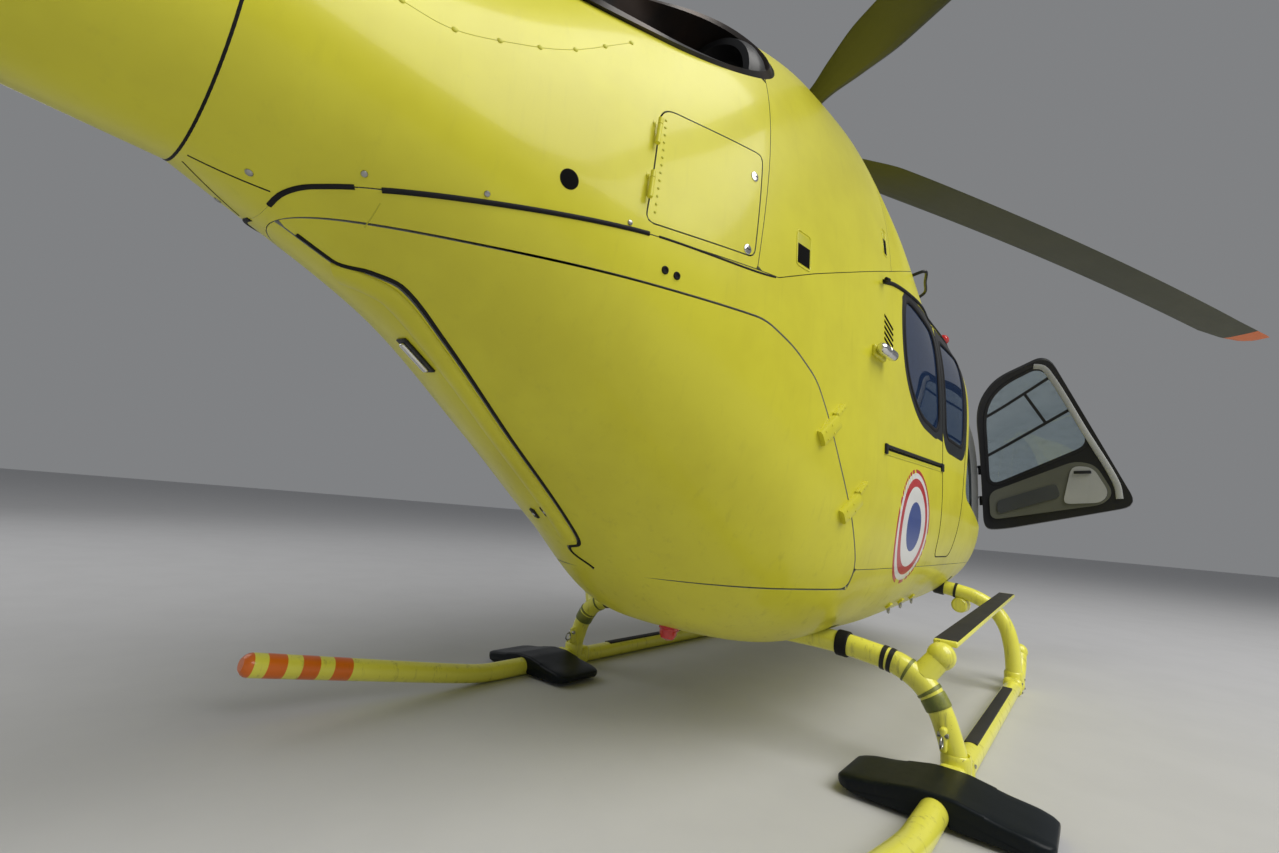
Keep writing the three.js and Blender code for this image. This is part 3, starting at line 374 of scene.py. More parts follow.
def clip(params, tris, surface, region, values=None):
    """The part of a triangulated parameter grid where region is positive. Cut edges get a new corner,
    found by halving the edge on the true surface."""
    d = region(surface(*params.T)) if values is None else values
    inside = d > 0
    count = inside[tris].sum(1)
    cut = tris[(count == 1) | (count == 2)]
    lone = np.where((count[(count == 1) | (count == 2)] == 1)[:, None], inside[cut], ~inside[cut])
    cut = np.take_along_axis(cut, (lone.argmax(1)[:, None] + np.arange(3)) % 3, 1)
    a, b, c = cut.T
    pairs = np.sort(np.concatenate([np.stack([a, b], 1), np.stack([a, c], 1)]), 1)
    edges, which = np.unique(pairs, axis=0, return_inverse=True)
    which = which.reshape(-1)
    start, end = params[edges[:, 0]], params[edges[:, 1]].copy()
    end[:, 1] += np.where(start[:, 1] - end[:, 1] > np.pi, 2 * np.pi, 0)
    end[:, 1] -= np.where(end[:, 1] - start[:, 1] > np.pi, 2 * np.pi, 0)
    starts_in = inside[edges[:, 0]]
    for _ in range(9):
        middle = (start + end) / 2
        same = (region(surface(*middle.T)) > 0) == starts_in
        start = np.where(same[:, None], middle, start)
        end = np.where(same[:, None], end, middle)
    new = len(params) + which
    ab, ac = new[: len(cut)], new[len(cut):]
    one = inside[a]
    pieces = [tris[count == 3], np.stack([a, ab, ac], 1)[one], np.stack([ab, b, c], 1)[~one],
              np.stack([ab, c, ac], 1)[~one]]
    faces = np.concatenate(pieces)
    used, faces = np.unique(faces, return_inverse=True)
    return np.concatenate([params, (start + end) / 2])[used], faces.reshape(-1, 3)


def border(tris):
    """The edges that only one triangle has, in that triangle's direction."""
    edges = np.concatenate([tris[:, [0, 1]], tris[:, [1, 2]], tris[:, [2, 0]]])
    key = np.sort(edges, 1)
    _, first, count = np.unique(key, axis=0, return_index=True, return_counts=True)
    return edges[first[count == 1]]


# Pieces

# The angle in degrees from which an edge is drawn sharp, and how near two corners are made one
SHARP_EDGE = 35
WELD = 2e-6


class Piece:
    """A mesh in the making: points and faces are gathered as arrays and put into one object."""

    def __init__(self, name):
        self.name, self.count = name, 0
        self.points, self.loops, self.sizes, self.paints = [], [], [], []

    def add(self, points, faces, paint=0, *more):
        """Adds points with their faces, and more faces of other paints on the same points."""
        points = np.asarray(points, float).reshape(-1, 3)
        self.points.append(points)
        for part, colour in ((faces, paint), *more):
            self.loops.append((np.asarray(part) + self.count).ravel())
            self.sizes.append(np.full(len(part), part.shape[1]))
            self.paints.append(np.full(len(part), colour))
        self.count += len(points)
        return self

    def turn(self, centre, axis, degrees):
        """Turns everything gathered so far about a line."""
        turn = np.array(Matrix.Rotation(math.radians(degrees), 3, Vector(axis)))
        self.points = [(p - centre) @ turn.T + centre for p in self.points]
        return self

    def mirror(self):
        """The same to the other side, with its faces turned round so that they still point out."""
        self.points = [p * (1, -1, 1) for p in self.points]
        self.loops = [x.reshape(-1, s[0])[:, ::-1].ravel() if len(s) else x
                      for x, s in zip(self.loops, self.sizes)]
        return self

    def make(self, materials, body="airframe", replaces=(), slot=None, closed=True):
        """Builds the object, gives it its materials, and tells the frame what it rides on."""
        mesh = bpy.data.meshes.new(self.name)
        points, loops = np.concatenate(self.points) + SHIFT, np.concatenate(self.loops)
        sizes = np.concatenate(self.sizes)
        shown, paints = np.unique(np.concatenate(self.paints), return_inverse=True)
        used = [materials[k] for k in shown] if isinstance(materials, (list, tuple)) else [materials]
        mesh.vertices.add(len(points))
        mesh.vertices.foreach_set("co", points.astype(np.float32).ravel())
        mesh.loops.add(len(loops))
        mesh.loops.foreach_set("vertex_index", loops.astype(np.int32))
        mesh.polygons.add(len(sizes))
        mesh.polygons.foreach_set("loop_start", (np.cumsum(sizes) - sizes).astype(np.int32))
        mesh.polygons.foreach_set("material_index", paints.astype(np.int32))
        mesh.update(calc_edges=True)
        mesh.validate()
        if closed:
            work = bmesh.new()
            work.from_mesh(mesh)
            bmesh.ops.remove_doubles(work, verts=work.verts, dist=WELD)
            bmesh.ops.recalc_face_normals(work, faces=work.faces)
            work.to_mesh(mesh)
            work.free()
        mesh.shade_smooth()
        mesh.set_sharp_from_angle(angle=math.radians(SHARP_EDGE))
        item = bpy.data.objects.new(self.name, mesh)
        bpy.context.scene.collection.objects.link(item)
        for material in used:
            mesh.materials.append(MATERIALS[material])
        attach(item, body)
        if replaces:
            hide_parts(*replaces)
        return item


def ring_faces(rows, around):
    """The quads between successive closed rings of points."""
    i, j = np.meshgrid(np.arange(rows - 1), np.arange(around), indexing="ij")
    k = (j + 1) % around
    quads = np.stack([i * around + j, i * around + k, (i + 1) * around + k, (i + 1) * around + j], -1)
    return quads.reshape(-1, 4)


def sheet_faces(rows, columns):
    """The quads of an open grid of points."""
    i, j = np.meshgrid(np.arange(rows - 1), np.arange(columns - 1), indexing="ij")
    a = i * columns + j
    return np.stack([a, a + 1, a + columns + 1, a + columns], -1).reshape(-1, 4)


def loft(rings):
    """A closed solid through rings of points, its ends closed to their middles."""
    rings = np.asarray(rings, float)
    first, last = (np.repeat(end.mean(1, keepdims=True), rings.shape[1], 1)
                   for end in (rings[:1], rings[-1:]))
    rings = np.concatenate([first, rings, last])
    return rings, ring_faces(len(rings), rings.shape[1])


def sweep(path, profile, up, scale=None, closed=False):
    """A profile carried along a path: at each point its first coordinate goes along tangent x up and its
    second along the remaining perpendicular, both times the scale there."""
    path, profile = np.asarray(path, float), np.asarray(profile, float)
    if closed:
        tangent = np.roll(path, -1, 0) - np.roll(path, 1, 0)
    else:
        tangent = np.gradient(path, axis=0)
    side = np.cross(tangent, np.broadcast_to(up, path.shape))
    side /= np.linalg.norm(side, axis=1)[:, None]
    top = np.cross(side, tangent)
    top /= np.linalg.norm(top, axis=1)[:, None]
    size = np.ones(len(path)) if scale is None else np.asarray(scale, float)
    flat = profile[None] * size[:, None, None]
    rings = path[:, None] + flat[..., :1] * side[:, None] + flat[..., 1:] * top[:, None]
    if closed:
        rings = np.concatenate([rings, rings[:1]])
        return rings, ring_faces(len(rings), len(profile))
    return loft(rings)


def rod(start, end, radius, sides, end_radius=None):
    """A round bar between two points with a small bevel at each end."""
    start, end = np.asarray(start, float), np.asarray(end, float)
    length = np.linalg.norm(end - start)
    bevel = 0.15 * radius
    cut = min(bevel, length * 0.2) / length
    t = np.array([0, cut, 1 - cut, 1])
    wide = radius + ((end_radius or radius) - radius) * t
    wide[[0, 3]] -= bevel
    up = (0, 0, 1) if abs(end[2] - start[2]) < 0.9 * length else (1, 0, 0)
    return sweep(start + (end - start) * t[:, None], circle(1, sides), up, wide)


def lathe(profile, place, sides, axis="z"):
    """A profile of (radius, height) pairs turned once about an axis through a place."""
    profile, a = np.asarray(profile, float), angles(sides)
    r, h = profile[:, :1], profile[:, 1:]
    across, over, along = r * np.cos(a), r * np.sin(a), h + 0 * a
    order = {"z": (across, over, along), "y": (over, along, across), "x": (along, across, over)}[axis]
    return np.stack(order, -1) + place, ring_faces(len(profile), sides)


def block(centre, size, radius, axes=np.eye(3)):
    """A box with rounded edges: each direction of a sphere's grid, scaled to the edge radius, is moved out
    to the inner box's corner of the same signs. axes holds the box's three directions as rows."""
    quarter = np.linspace(0, np.pi / 2, 4)
    a = np.concatenate([quarter + k * np.pi / 2 for k in range(4)])
    b = np.concatenate([quarter - np.pi / 2, quarter])
    sign_x, sign_y, sign_z = (np.repeat(s, 4) for s in ([1, -1, -1, 1], [1, 1, -1, -1], [-1, 1]))
    inner = np.maximum(np.asarray(size, float) / 2 - radius, 0)
    x = np.cos(b)[:, None] * np.cos(a) * radius + sign_x * inner[0]
    y = np.cos(b)[:, None] * np.sin(a) * radius + sign_y * inner[1]
    z = np.repeat((np.sin(b) * radius + sign_z * inner[2])[:, None], len(a), 1)
    return loft(np.stack([x, y, z], -1) @ np.asarray(axes, float) + centre)


def facing(normal):
    """Three directions for something that sits on a surface: forward along it, across it and out of it."""
    normal = np.asarray(normal, float) / np.linalg.norm(normal)
    first = (1, 0, 0) - normal * normal[0]
    first /= np.linalg.norm(first)
    return np.stack([first, np.cross(normal, first), normal])


def prism(outline, low, high, bevel):
    """An outline of the side view carried across y, with its two ends drawn in by a small bevel."""
    outline = np.asarray(outline, float)
    middle = outline.mean(0)
    shrink = 1 - bevel / np.linalg.norm(outline - middle, axis=1).mean()
    rings = []
    for y, s in ((low, shrink), (low + bevel, 1), (high - bevel, 1), (high, shrink)):
        flat = middle + (outline - middle) * s
        rings.append(np.stack([flat[:, 0], np.full(len(flat), y), flat[:, 1]], 1))
    return loft(rings)


def walled(piece, front, rear, tris, outer, inner):
    """A closed wall: two faces that share their triangles, and the rim between their borders."""
    edge, n = border(tris), len(front)
    rim = np.stack([edge[:, 1], edge[:, 0], edge[:, 0] + n, edge[:, 1] + n], 1)
    return piece.add(np.concatenate([front, rear]), tris, outer, (tris[:, ::-1] + n, inner), (rim, inner))


def panel(piece, region, thick, proud, outer=0, inner=1):
    """The part of the skin inside a region as a closed wall: outer face, inner face at the given depth
    along the normals, and the rim between them."""
    params, tris = clip(SKIN_PARAMS, SKIN_TRIS, skin, region, region(SKIN_POINTS))
    points, normals = skin(*params.T), skin_normal(*params.T)
    return walled(piece, points + proud * normals, points - (thick - proud) * normals, tris, outer, inner)


# Materials

MATERIALS = {}


class Graph:
    """Adds nodes to a tree and joins them; a value that is a socket is linked, any other is set."""

    def __init__(self, tree):
        self.tree = tree

    def put(self, socket, value):
        if isinstance(value, bpy.types.NodeSocket):
            self.tree.links.new(value, socket)
        else:
            socket.default_value = value

    def add(self, kind, settings=(), **values):
        node = self.tree.nodes.new("ShaderNode" + kind)
        for key, value in dict(settings).items():
            setattr(node, key, value)
        for key, value in values.items():
            self.put(node.inputs[key.replace("_", " ")], value)
        return node

    def math(self, way, a, b, limit=False):
        node = self.add("Math", {"operation": way, "use_clamp": limit})
        self.put(node.inputs[0], a)
        self.put(node.inputs[1], b)
        return node.outputs[0]

    def mix(self, share, a, b):
        node = self.add("Mix", {"data_type": "RGBA"})
        for index, value in ((0, share), (6, a), (7, b)):
            self.put(node.inputs[index], value)
        return node.outputs[2]

    def noise(self, place, scale, detail, rough=0.5):
        return self.add("TexNoise", Vector=place, Scale=scale, Detail=detail, Roughness=rough).outputs["Fac"]

    def step(self, value, low, high):
        node = self.add("MapRange", {"interpolation_type": "SMOOTHSTEP"}, Value=value)
        self.put(node.inputs["From Min"], low)
        self.put(node.inputs["From Max"], high)
        return node.outputs["Result"]

    def stretch(self, place, scale):
        return self.add("Mapping", Vector=place, Scale=scale).outputs["Vector"]


def new_group(name, inputs, outputs):
    """An empty node group with named inputs (with defaults) and outputs."""
    tree = bpy.data.node_groups.new(name, "ShaderNodeTree")
    for label, value in inputs:
        kind = "NodeSocketColor" if isinstance(value, tuple) and len(value) == 4 else "NodeSocketFloat"
        kind = "NodeSocketVector" if isinstance(value, tuple) and len(value) == 3 else kind
        tree.interface.new_socket(label, in_out="INPUT", socket_type=kind).default_value = value
    for label, kind in outputs:
        tree.interface.new_socket(label, in_out="OUTPUT", socket_type=kind)
    g = Graph(tree)
    given, out = tree.nodes.new("NodeGroupInput").outputs, tree.nodes.new("NodeGroupOutput").inputs
    return tree, g, given, out


COLOUR, VALUE = "NodeSocketColor", "NodeSocketFloat"


def finish_group():
    """Use on a large surface: slow changes of tone and gloss, run-down streaks and dirt low on the object,
    and a fine grain for the bump."""
    tree, g, given, out = new_group(
        "worn finish",
        [("Place", (0.0, 0.0, 0.0)), ("Colour", (0.8, 0.8, 0.8, 1.0)), ("Shade", (0.5, 0.5, 0.5, 1.0)),
         ("Dirt", (0.12, 0.1, 0.06, 1.0)), ("Tone Scale", 2.0), ("Tone Amount", 0.4), ("Dirt Amount", 0.3),
         ("Roughness", 0.3), ("Gloss Change", 0.15), ("Grain Scale", 300.0)],
        [("Colour", COLOUR), ("Roughness", VALUE), ("Height", VALUE), ("Mask", VALUE)])
    slow = g.noise(given["Place"], given["Tone Scale"], 4.0, 0.6)
    tone = g.math("MULTIPLY", g.step(slow, 0.38, 0.66), given["Tone Amount"])
    streak = g.noise(g.stretch(given["Place"], (9.0, 9.0, 0.9)), 3.0, 5.0, 0.65)
    spots = g.noise(given["Place"], 46.0, 4.0, 0.7)
    marks = g.math("MAXIMUM", g.step(streak, 0.54, 0.78), g.math("MULTIPLY", g.step(spots, 0.62, 0.74), 0.6))
    split = g.add("SeparateXYZ", Vector=given["Place"])
    low = g.step(split.outputs["Z"], 1.5, 0.2)
    dirt = g.math("MULTIPLY", g.math("MULTIPLY", marks, g.math("ADD", g.math("MULTIPLY", low, 0.8), 0.25)),
                  given["Dirt Amount"], True)
    toned = g.mix(tone, given["Colour"], given["Shade"])
    g.put(out["Colour"], g.mix(dirt, toned, given["Dirt"]))
    uneven = g.math("SUBTRACT", g.noise(given["Place"], 7.0, 4.0), 0.5)
    gloss = g.math("MULTIPLY", uneven, given["Gloss Change"])
    rough = g.math("ADD", given["Roughness"], gloss)
    g.put(out["Roughness"], g.math("ADD", rough, g.math("MULTIPLY", dirt, 0.4), True))
    g.put(out["Height"], g.noise(given["Place"], given["Grain Scale"], 2.0))
    g.put(out["Mask"], dirt)
    return tree


def scuff_group():
    """Use on gear and treads: long scratches and knocked patches where another colour shows through."""
    tree, g, given, out = new_group(
        "scuffs", [("Place", (0.0, 0.0, 0.0)), ("Scale", 12.0), ("Amount", 0.5)],
        [("Mask", VALUE), ("Height", VALUE)])
    drawn = g.stretch(given["Place"], (1.0, 6.0, 6.0))
    lines = g.noise(drawn, g.math("MULTIPLY", given["Scale"], 2.4), 6.0, 0.75)
    patches = g.noise(given["Place"], given["Scale"], 6.0, 0.7)
    edge = g.math("SUBTRACT", 0.74, g.math("MULTIPLY", given["Amount"], 0.14))
    high = g.math("ADD", edge, 0.05)
    mask = g.math("MAXIMUM", g.step(lines, edge, high), g.step(patches, edge, high))
    g.put(out["Mask"], mask)
    g.put(out["Height"], g.math("SUBTRACT", g.math("MULTIPLY", patches, 0.3), mask))
    return tree


def weave_group():
    """Use on cloth: two sets of threads crossing at right angles, with a slow change of tone."""
    tree, g, given, out = new_group(
        "weave", [("Place", (0.0, 0.0, 0.0)), ("Threads", 700.0)], [("Height", VALUE), ("Mask", VALUE)])
    waves = [g.add("TexWave", {"bands_direction": way}, Vector=given["Place"], Scale=given["Threads"])
             for way in ("X", "Y", "Z")]
    x, y, z = (wave.outputs["Fac"] for wave in waves)
    cross = g.math("MULTIPLY", g.math("ADD", g.math("ADD", x, y), z), 0.33)
    g.put(out["Height"], cross)
    g.put(out["Mask"], g.math("MULTIPLY", g.noise(given["Place"], 30.0, 4.0), cross))
    return tree


FINISH, SCUFF, WEAVE = finish_group(), scuff_group(), weave_group()


def start_material(name, **shader):
    """A material with its shader's own fixed values set, and the piece's own place for its patterns."""
    material = bpy.data.materials.new(name)
    material.use_nodes = True
    tree = material.node_tree
    tree.nodes.clear()
    g = Graph(tree)
    surface = g.add("BsdfPrincipled", **shader)
    tree.links.new(surface.outputs[0], g.add("OutputMaterial").inputs["Surface"])
    place = g.add("TexCoord").outputs["Object"]
    MATERIALS[name] = material
    return g, surface, place


def use(g, group, **values):
    """One of the groups above put into a material; an underscore in a name stands for a space."""
    node = g.tree.nodes.new("ShaderNodeGroup")
    node.node_tree = group
    for key, value in values.items():
        g.put(node.inputs[key.replace("_", " ")], value)
    return node.outputs


def bump(g, surface, height, strength, distance):
    """Bends the surface's normal by a height."""
    node = g.add("Bump", Height=height, Strength=strength, Distance=distance)
    g.put(surface.inputs["Normal"], node.outputs["Normal"])


def finished(name, colour, shade, roughness, tone=0.4, dirt=0.3, grain=300.0, relief=0.05, scale=2.0,
             soil=(0.1, 0.085, 0.05), **shader):
    """A worn finish over one kind of surface. Colours are red, green and blue."""
    g, surface, place = start_material(name, **shader)
    worn = use(g, FINISH, Place=place, Colour=(*colour, 1), Shade=(*shade, 1), Dirt=(*soil, 1),
               Tone_Scale=scale, Tone_Amount=tone, Dirt_Amount=dirt, Roughness=roughness, Gloss_Change=0.15,
               Grain_Scale=grain)
    g.put(surface.inputs["Base Color"], worn["Colour"])
    g.put(surface.inputs["Roughness"], worn["Roughness"])
    bump(g, surface, worn["Height"], relief, 0.002)
    return g, surface, place, worn


BARE_ROUGH = 0.5


def scuffed(name, colour, shade, roughness, bare, amount, scale, **options):
    """A worn finish with scuffs that bare what lies under it."""
    g, surface, place, worn = finished(name, colour, shade, roughness, **options)
    marks = use(g, SCUFF, Place=place, Scale=scale, Amount=amount)
    g.put(surface.inputs["Base Color"], g.mix(marks["Mask"], worn["Colour"], (*bare, 1)))
    rough = g.math("ADD", worn["Roughness"], g.math("MULTIPLY", marks["Mask"], BARE_ROUGH - roughness), True)
    g.put(surface.inputs["Roughness"], rough)
    bump(g, surface, marks["Height"], 0.25, 0.0015)


# name, colour, slow second colour, roughness, and what departs from the usual finish
FINISHES = (
    ("yellow paint", (0.715, 0.675, 0.040), (0.60, 0.55, 0.03), 0.36,
     dict(tone=0.55, dirt=0.22, grain=110.0, relief=0.012, Coat_Weight=0.22, Coat_Roughness=0.10,
          Specular_IOR_Level=0.30)),
    # A darker yellow for seams and rivets, also used as painted shade in the flank slots and the door track.
    ("yellow seam", (0.56, 0.54, 0.02), (0.4, 0.37, 0.02), 0.5, dict(dirt=0.7)),
    ("gear fitting", (0.12, 0.15, 0.03), (0.30, 0.31, 0.05), 0.42, dict(tone=0.8, dirt=0.5, scale=14.0)),
    ("black paint", (0.010, 0.0105, 0.012), (0.020, 0.021, 0.023), 0.40,
     dict(dirt=0.12, soil=(0.05, 0.05, 0.05), Specular_IOR_Level=0.35)),
    ("rubber", (0.009, 0.009, 0.010), (0.016, 0.016, 0.017), 0.62,
     dict(dirt=0.2, relief=0.1, soil=(0.05, 0.05, 0.048), Specular_IOR_Level=0.2)),
    # Near-black painted shadow, standing in for the dark inside of holes, slots and louvres.
    ("deep black", (0.003, 0.003, 0.003), (0.006, 0.006, 0.006), 0.9, dict(dirt=0.1, Specular_IOR_Level=0.1)),
    ("grey trim", (0.42, 0.43, 0.42), (0.3, 0.31, 0.31), 0.55, dict(grain=700.0, relief=0.15, dirt=0.4)),
    ("dark trim", (0.045, 0.05, 0.05), (0.075, 0.08, 0.075), 0.6, dict(grain=800.0, relief=0.25)),
    ("olive trim", (0.115, 0.12, 0.09), (0.075, 0.078, 0.06), 0.58, dict(grain=700.0, relief=0.2, dirt=0.4)),
    ("primer", (0.33, 0.35, 0.24), (0.24, 0.25, 0.18), 0.6, dict(dirt=0.7, scale=5.0)),
    ("steel", (0.42, 0.42, 0.41), (0.3, 0.3, 0.29), 0.32, dict(dirt=0.4, Metallic=1.0)),
    ("bright metal", (0.75, 0.75, 0.74), (0.6, 0.6, 0.6), 0.14, dict(dirt=0.15, Metallic=1.0)),
    ("fan alloy", (0.33, 0.34, 0.35), (0.25, 0.26, 0.27), 0.4, dict(dirt=0.35, scale=6.0, Metallic=0.85)),
    ("machine grey", (0.16, 0.17, 0.18), (0.1, 0.105, 0.11), 0.45, dict(dirt=0.5, scale=6.0, relief=0.1)),
    ("orange paint", (0.80, 0.165, 0.008), (0.62, 0.12, 0.008), 0.32, dict(dirt=0.35, Coat_Weight=0.3)),
    ("emblem red", (0.52, 0.02, 0.03), (0.42, 0.018, 0.025), 0.35, dict(dirt=0.2, Coat_Weight=0.4)),
    ("emblem white", (0.8, 0.8, 0.78), (0.68, 0.68, 0.66), 0.35, dict(dirt=0.25, Coat_Weight=0.4)),
    ("emblem blue", (0.02, 0.06, 0.28), (0.016, 0.045, 0.2), 0.35, dict(dirt=0.2, Coat_Weight=0.4)),
    ("red lens", (0.6, 0.01, 0.008), (0.45, 0.008, 0.006), 0.12, dict(dirt=0.2, Coat_Weight=0.8)),
    ("clear lens", (0.8, 0.82, 0.83), (0.7, 0.72, 0.73), 0.06,
     dict(dirt=0.1, Transmission_Weight=0.7, Coat_Weight=0.6)),
)
# The same, then the colour that scuffs bare, how much of it shows, and the size of the scuffs
SCUFFED = (
    ("gear paint", (0.86, 0.83, 0.10), (0.76, 0.72, 0.07), 0.32, (0.16, 0.15, 0.05), 0.5, 9.0,
     dict(dirt=0.55, relief=0.03, Coat_Weight=0.45, Coat_Roughness=0.12)),
    ("tread", (0.014, 0.014, 0.015), (0.035, 0.034, 0.032), 0.8, (0.16, 0.155, 0.14), 0.35, 20.0,
     dict(grain=900.0, relief=0.5, dirt=0.5)),
    ("black plate", (0.004, 0.0065, 0.009), (0.009, 0.013, 0.017), 0.38, (0.045, 0.05, 0.052), 0.24, 7.0,
     dict(dirt=0.2, soil=(0.03, 0.032, 0.03), Specular_IOR_Level=0.18)),
    ("blade olive", (0.046, 0.050, 0.016), (0.066, 0.066, 0.024), 0.34, (0.16, 0.155, 0.07), 0.2, 3.0,
     dict(dirt=0.35, relief=0.03)),
)
# name, tint, how much passes through, bending of light
GLASS = (("side glass", (0.014, 0.036, 0.100), 0.30, 1.32), ("front glass", (0.55, 0.66, 0.70), 0.96, 1.45))
CLOTH = (("seat cloth", (0.035, 0.075, 0.16), (0.02, 0.045, 0.10)),
         ("seat edge", (0.03, 0.032, 0.035), (0.018, 0.019, 0.02)))


def make_materials():
    """The tables' finishes, the exhaust's steel with its heat marks, smeared glass, and woven cloth."""
    for *values, options in FINISHES:
        finished(*values, **options)
    for *values, options in SCUFFED:
        scuffed(*values, **options)

    g, surface, place, worn = finished("burnt steel", (0.045, 0.043, 0.042), (0.018, 0.017, 0.017), 0.34,
                                       tone=0.8, dirt=0.5, scale=5.0, soil=(0.05, 0.045, 0.04), Metallic=0.5)
    heat = g.step(g.noise(g.stretch(place, (3.0, 1.0, 1.0)), 2.0, 5.0), 0.4, 0.7)
    g.put(surface.inputs["Base Color"], g.mix(heat, worn["Colour"], (0.055, 0.038, 0.030, 1)))

    for name, tint, clear, bending in GLASS:
        g, surface, place = start_material(name, IOR=bending, Transmission_Weight=clear, Metallic=0.0)
        smear = g.noise(g.stretch(place, (2.0, 2.0, 5.0)), 6.0, 5.0, 0.7)
        dark = tuple(v * 0.8 for v in tint)
        g.put(surface.inputs["Base Color"], g.mix(g.step(smear, 0.4, 0.8), (*tint, 1), (*dark, 1)))
        g.put(surface.inputs["Roughness"], g.math("MULTIPLY", g.step(smear, 0.5, 0.95), 0.09))

    for name, colour, shade in CLOTH:
        g, surface, place = start_material(name, Roughness=0.9, Sheen_Weight=0.35, Sheen_Roughness=0.5)
        cloth = use(g, WEAVE, Place=place)
        worn = use(g, FINISH, Place=place, Colour=(*colour, 1), Shade=(*shade, 1), Tone_Scale=6.0,
                   Roughness=0.88)
        lighter = (min(1, v * 2.2) for v in colour)
        g.put(surface.inputs["Base Color"], g.mix(cloth["Mask"], worn["Colour"], (*lighter, 1)))
        g.put(surface.inputs["Roughness"], worn["Roughness"])
        bump(g, surface, cloth["Height"], 0.35, 0.0006)


make_materials()


# Regions of the skin, each a function that is positive inside

HALF_SEAM = 0.0016
DOOR_SEAM = 0.0035


def side_share(p):
    """How far the skin at a point faces sideways, from 1 on the flank to 0.12 at the keel: the sideways part
    of the section's superellipse gradient."""
    x = np.clip(p[:, 0], TAIL_X, NOSE_X)
    up = p[:, 2] - BELT(x)
    span = np.where(up < 0, BELT(x) - LOW(x), HIGH(x) - BELT(x))
    power = np.where(up < 0, UNDER(x), OVER(x)) - 1
    across = np.abs(p[:, 1] / HALF(x)) ** power / HALF(x)
    over = np.abs(up / span) ** power / span
    return np.clip(across / np.maximum(np.hypot(across, over), 1e-9), 0.12, 1)


def area(outline, side=0, grow=0.0):
    """Inside an outline of the side view, grown by a distance on one side or both. A small growth is
    measured along the skin."""
    def region(p):
        share = side_share(p) if 0 < abs(grow) < 0.01 else 1
        d = within(p, outline) + grow * share
        return np.minimum(d, side * p[:, 1]) if side else d
    return region


def all_of(*regions):
    """Inside every one of the regions."""
    return lambda p: np.minimum.reduce([r(p) for r in regions])


def none_of(*regions):
    """Outside every one of the regions."""
    return lambda p: -np.maximum.reduce([r(p) for r in regions])


deck_line = millimetres(DECK)
TAIL_LOOP = flowing(((-2.284, 1.500), (-2.285, 1.545), (-2.287, 1.562), (-2.285, 1.574), (-2.266, 1.587),
                     (-2.225, 1.598), (-2.170, 1.610), (-2.110, 1.620)), 40)
UPPER = np.vstack([[(-2.284, 1.30)], TAIL_LOOP, deck_line[3:], [(1.95, 3.3), (-2.60, 3.3), (-2.60, 1.30)]])
pilot_door, pilot_window, sliding_door, sliding_window, rear_window, clamshell, service_door, windshield = (
    rounded(millimetres(rows), radius) for rows, radius in (
        (PILOT_DOOR, 0.10), (PILOT_WINDOW, 0.10), (SLIDING_DOOR, 0.07), (SLIDING_WINDOW, 0.10),
        (REAR_WINDOW, 0.12), (CLAMSHELL, 0.05), (SERVICE_DOOR, 0.03), (WINDSHIELD, 0.10)))
hull_outline, nose_outline = millimetres(HULL), millimetres(NOSE)
cowl_a, cowl_b = millimetres(COWL_AFT)


def behind_cowl(p):
    """How far a point lies aft of the slanting rear edge of the engine cowlings."""
    line = cowl_b - cowl_a
    along = p[:, [0, 2]] - cowl_a
    return -(along[:, 0] * line[1] - along[:, 1] * line[0]) / np.linalg.norm(line)


def engine_sides(p):
    """Off the middle spine and behind the front edge of the engine cowlings."""
    return np.minimum(np.abs(p[:, 1]) - SPINE_HALF, COWL_FRONT_X - p[:, 0])


def pipe_line(t):
    """The exhaust pipe's middle line on the port side: straight, and leaning a little out and up."""
    start = np.array([PIPE["front"], -PIPE["y"], PIPE["z"]])
    reach = PIPE["front"] - PIPE["end"]
    end = np.array([PIPE["end"], -PIPE["y"] + reach * math.sin(math.radians(PIPE["turn"])), PIPE["end_z"]])
    return start + np.asarray(t)[..., None] * (end - start)


def off_pipe(p):
    """The distance outside either exhaust pipe's hole in the skin; ahead of the pipes it is always
    outside."""
    start, end = pipe_line(0.0), pipe_line(1.0)
    line = (end - start) / np.linalg.norm(end - start)
    q = np.stack([p[:, 0], np.abs(p[:, 1]), p[:, 2]], 1) - start
    distance = np.linalg.norm(np.cross(q, line), axis=1) - PIPE["outer"] - PIPE["gap"]
    return np.maximum(distance, p[:, 0] - PIPE["hole_front"])


SEAM_ROWS = ((-2.60, -0.02), (-2.22, -0.025), (-2.13, -0.030), (-2.06, -0.095), (-1.99, -0.130),
             (-1.85, -0.105), (-1.53, -0.050), (-1.14, 0.010), (-1.085, 0.045), (-1.06, 0.120),
             (-1.03, 0.135), (-0.95, 0.070), (-0.80, 0.070))
SEAM = monotone(*np.array(SEAM_ROWS).T)


def rear_half(side):
    """One leaf of the rear doors: its side of the lobed seam down the tail of the body."""
    return lambda p: side * (p[:, 1] - SEAM(np.clip(p[:, 0], -2.6, -0.8)))


def pair(name, build, **options):
    """The same piece made once for each side; build fills a piece for a side."""
    for word, side in SIDES:
        build(piece := Piece(f"{name}_{word}"), side)
        piece.make(**{k: (v(word) if callable(v) else v) for k, v in options.items()})


def hinge_of(name, side=-1):
    """The hinge's foot, direction and opening angle on one side."""
    a, b, angle, radius = HINGES[name]
    flip = np.array([1, -side, 1])
    a, b = millimetres(a) * flip, millimetres(b) * flip
    return a, b, (angle if side < 0 else -angle), radius * MM


def opened(piece, side):
    """The starboard pilot door stands open; the port one is closed."""
    if side < 0:
        a, b, angle, _ = hinge_of("pilot")
        piece.turn(a, b - a, angle)
    return piece


# Body panels

PRIMED, TRIMMED = ["yellow paint", "primer"], ["yellow paint", "grey trim"]


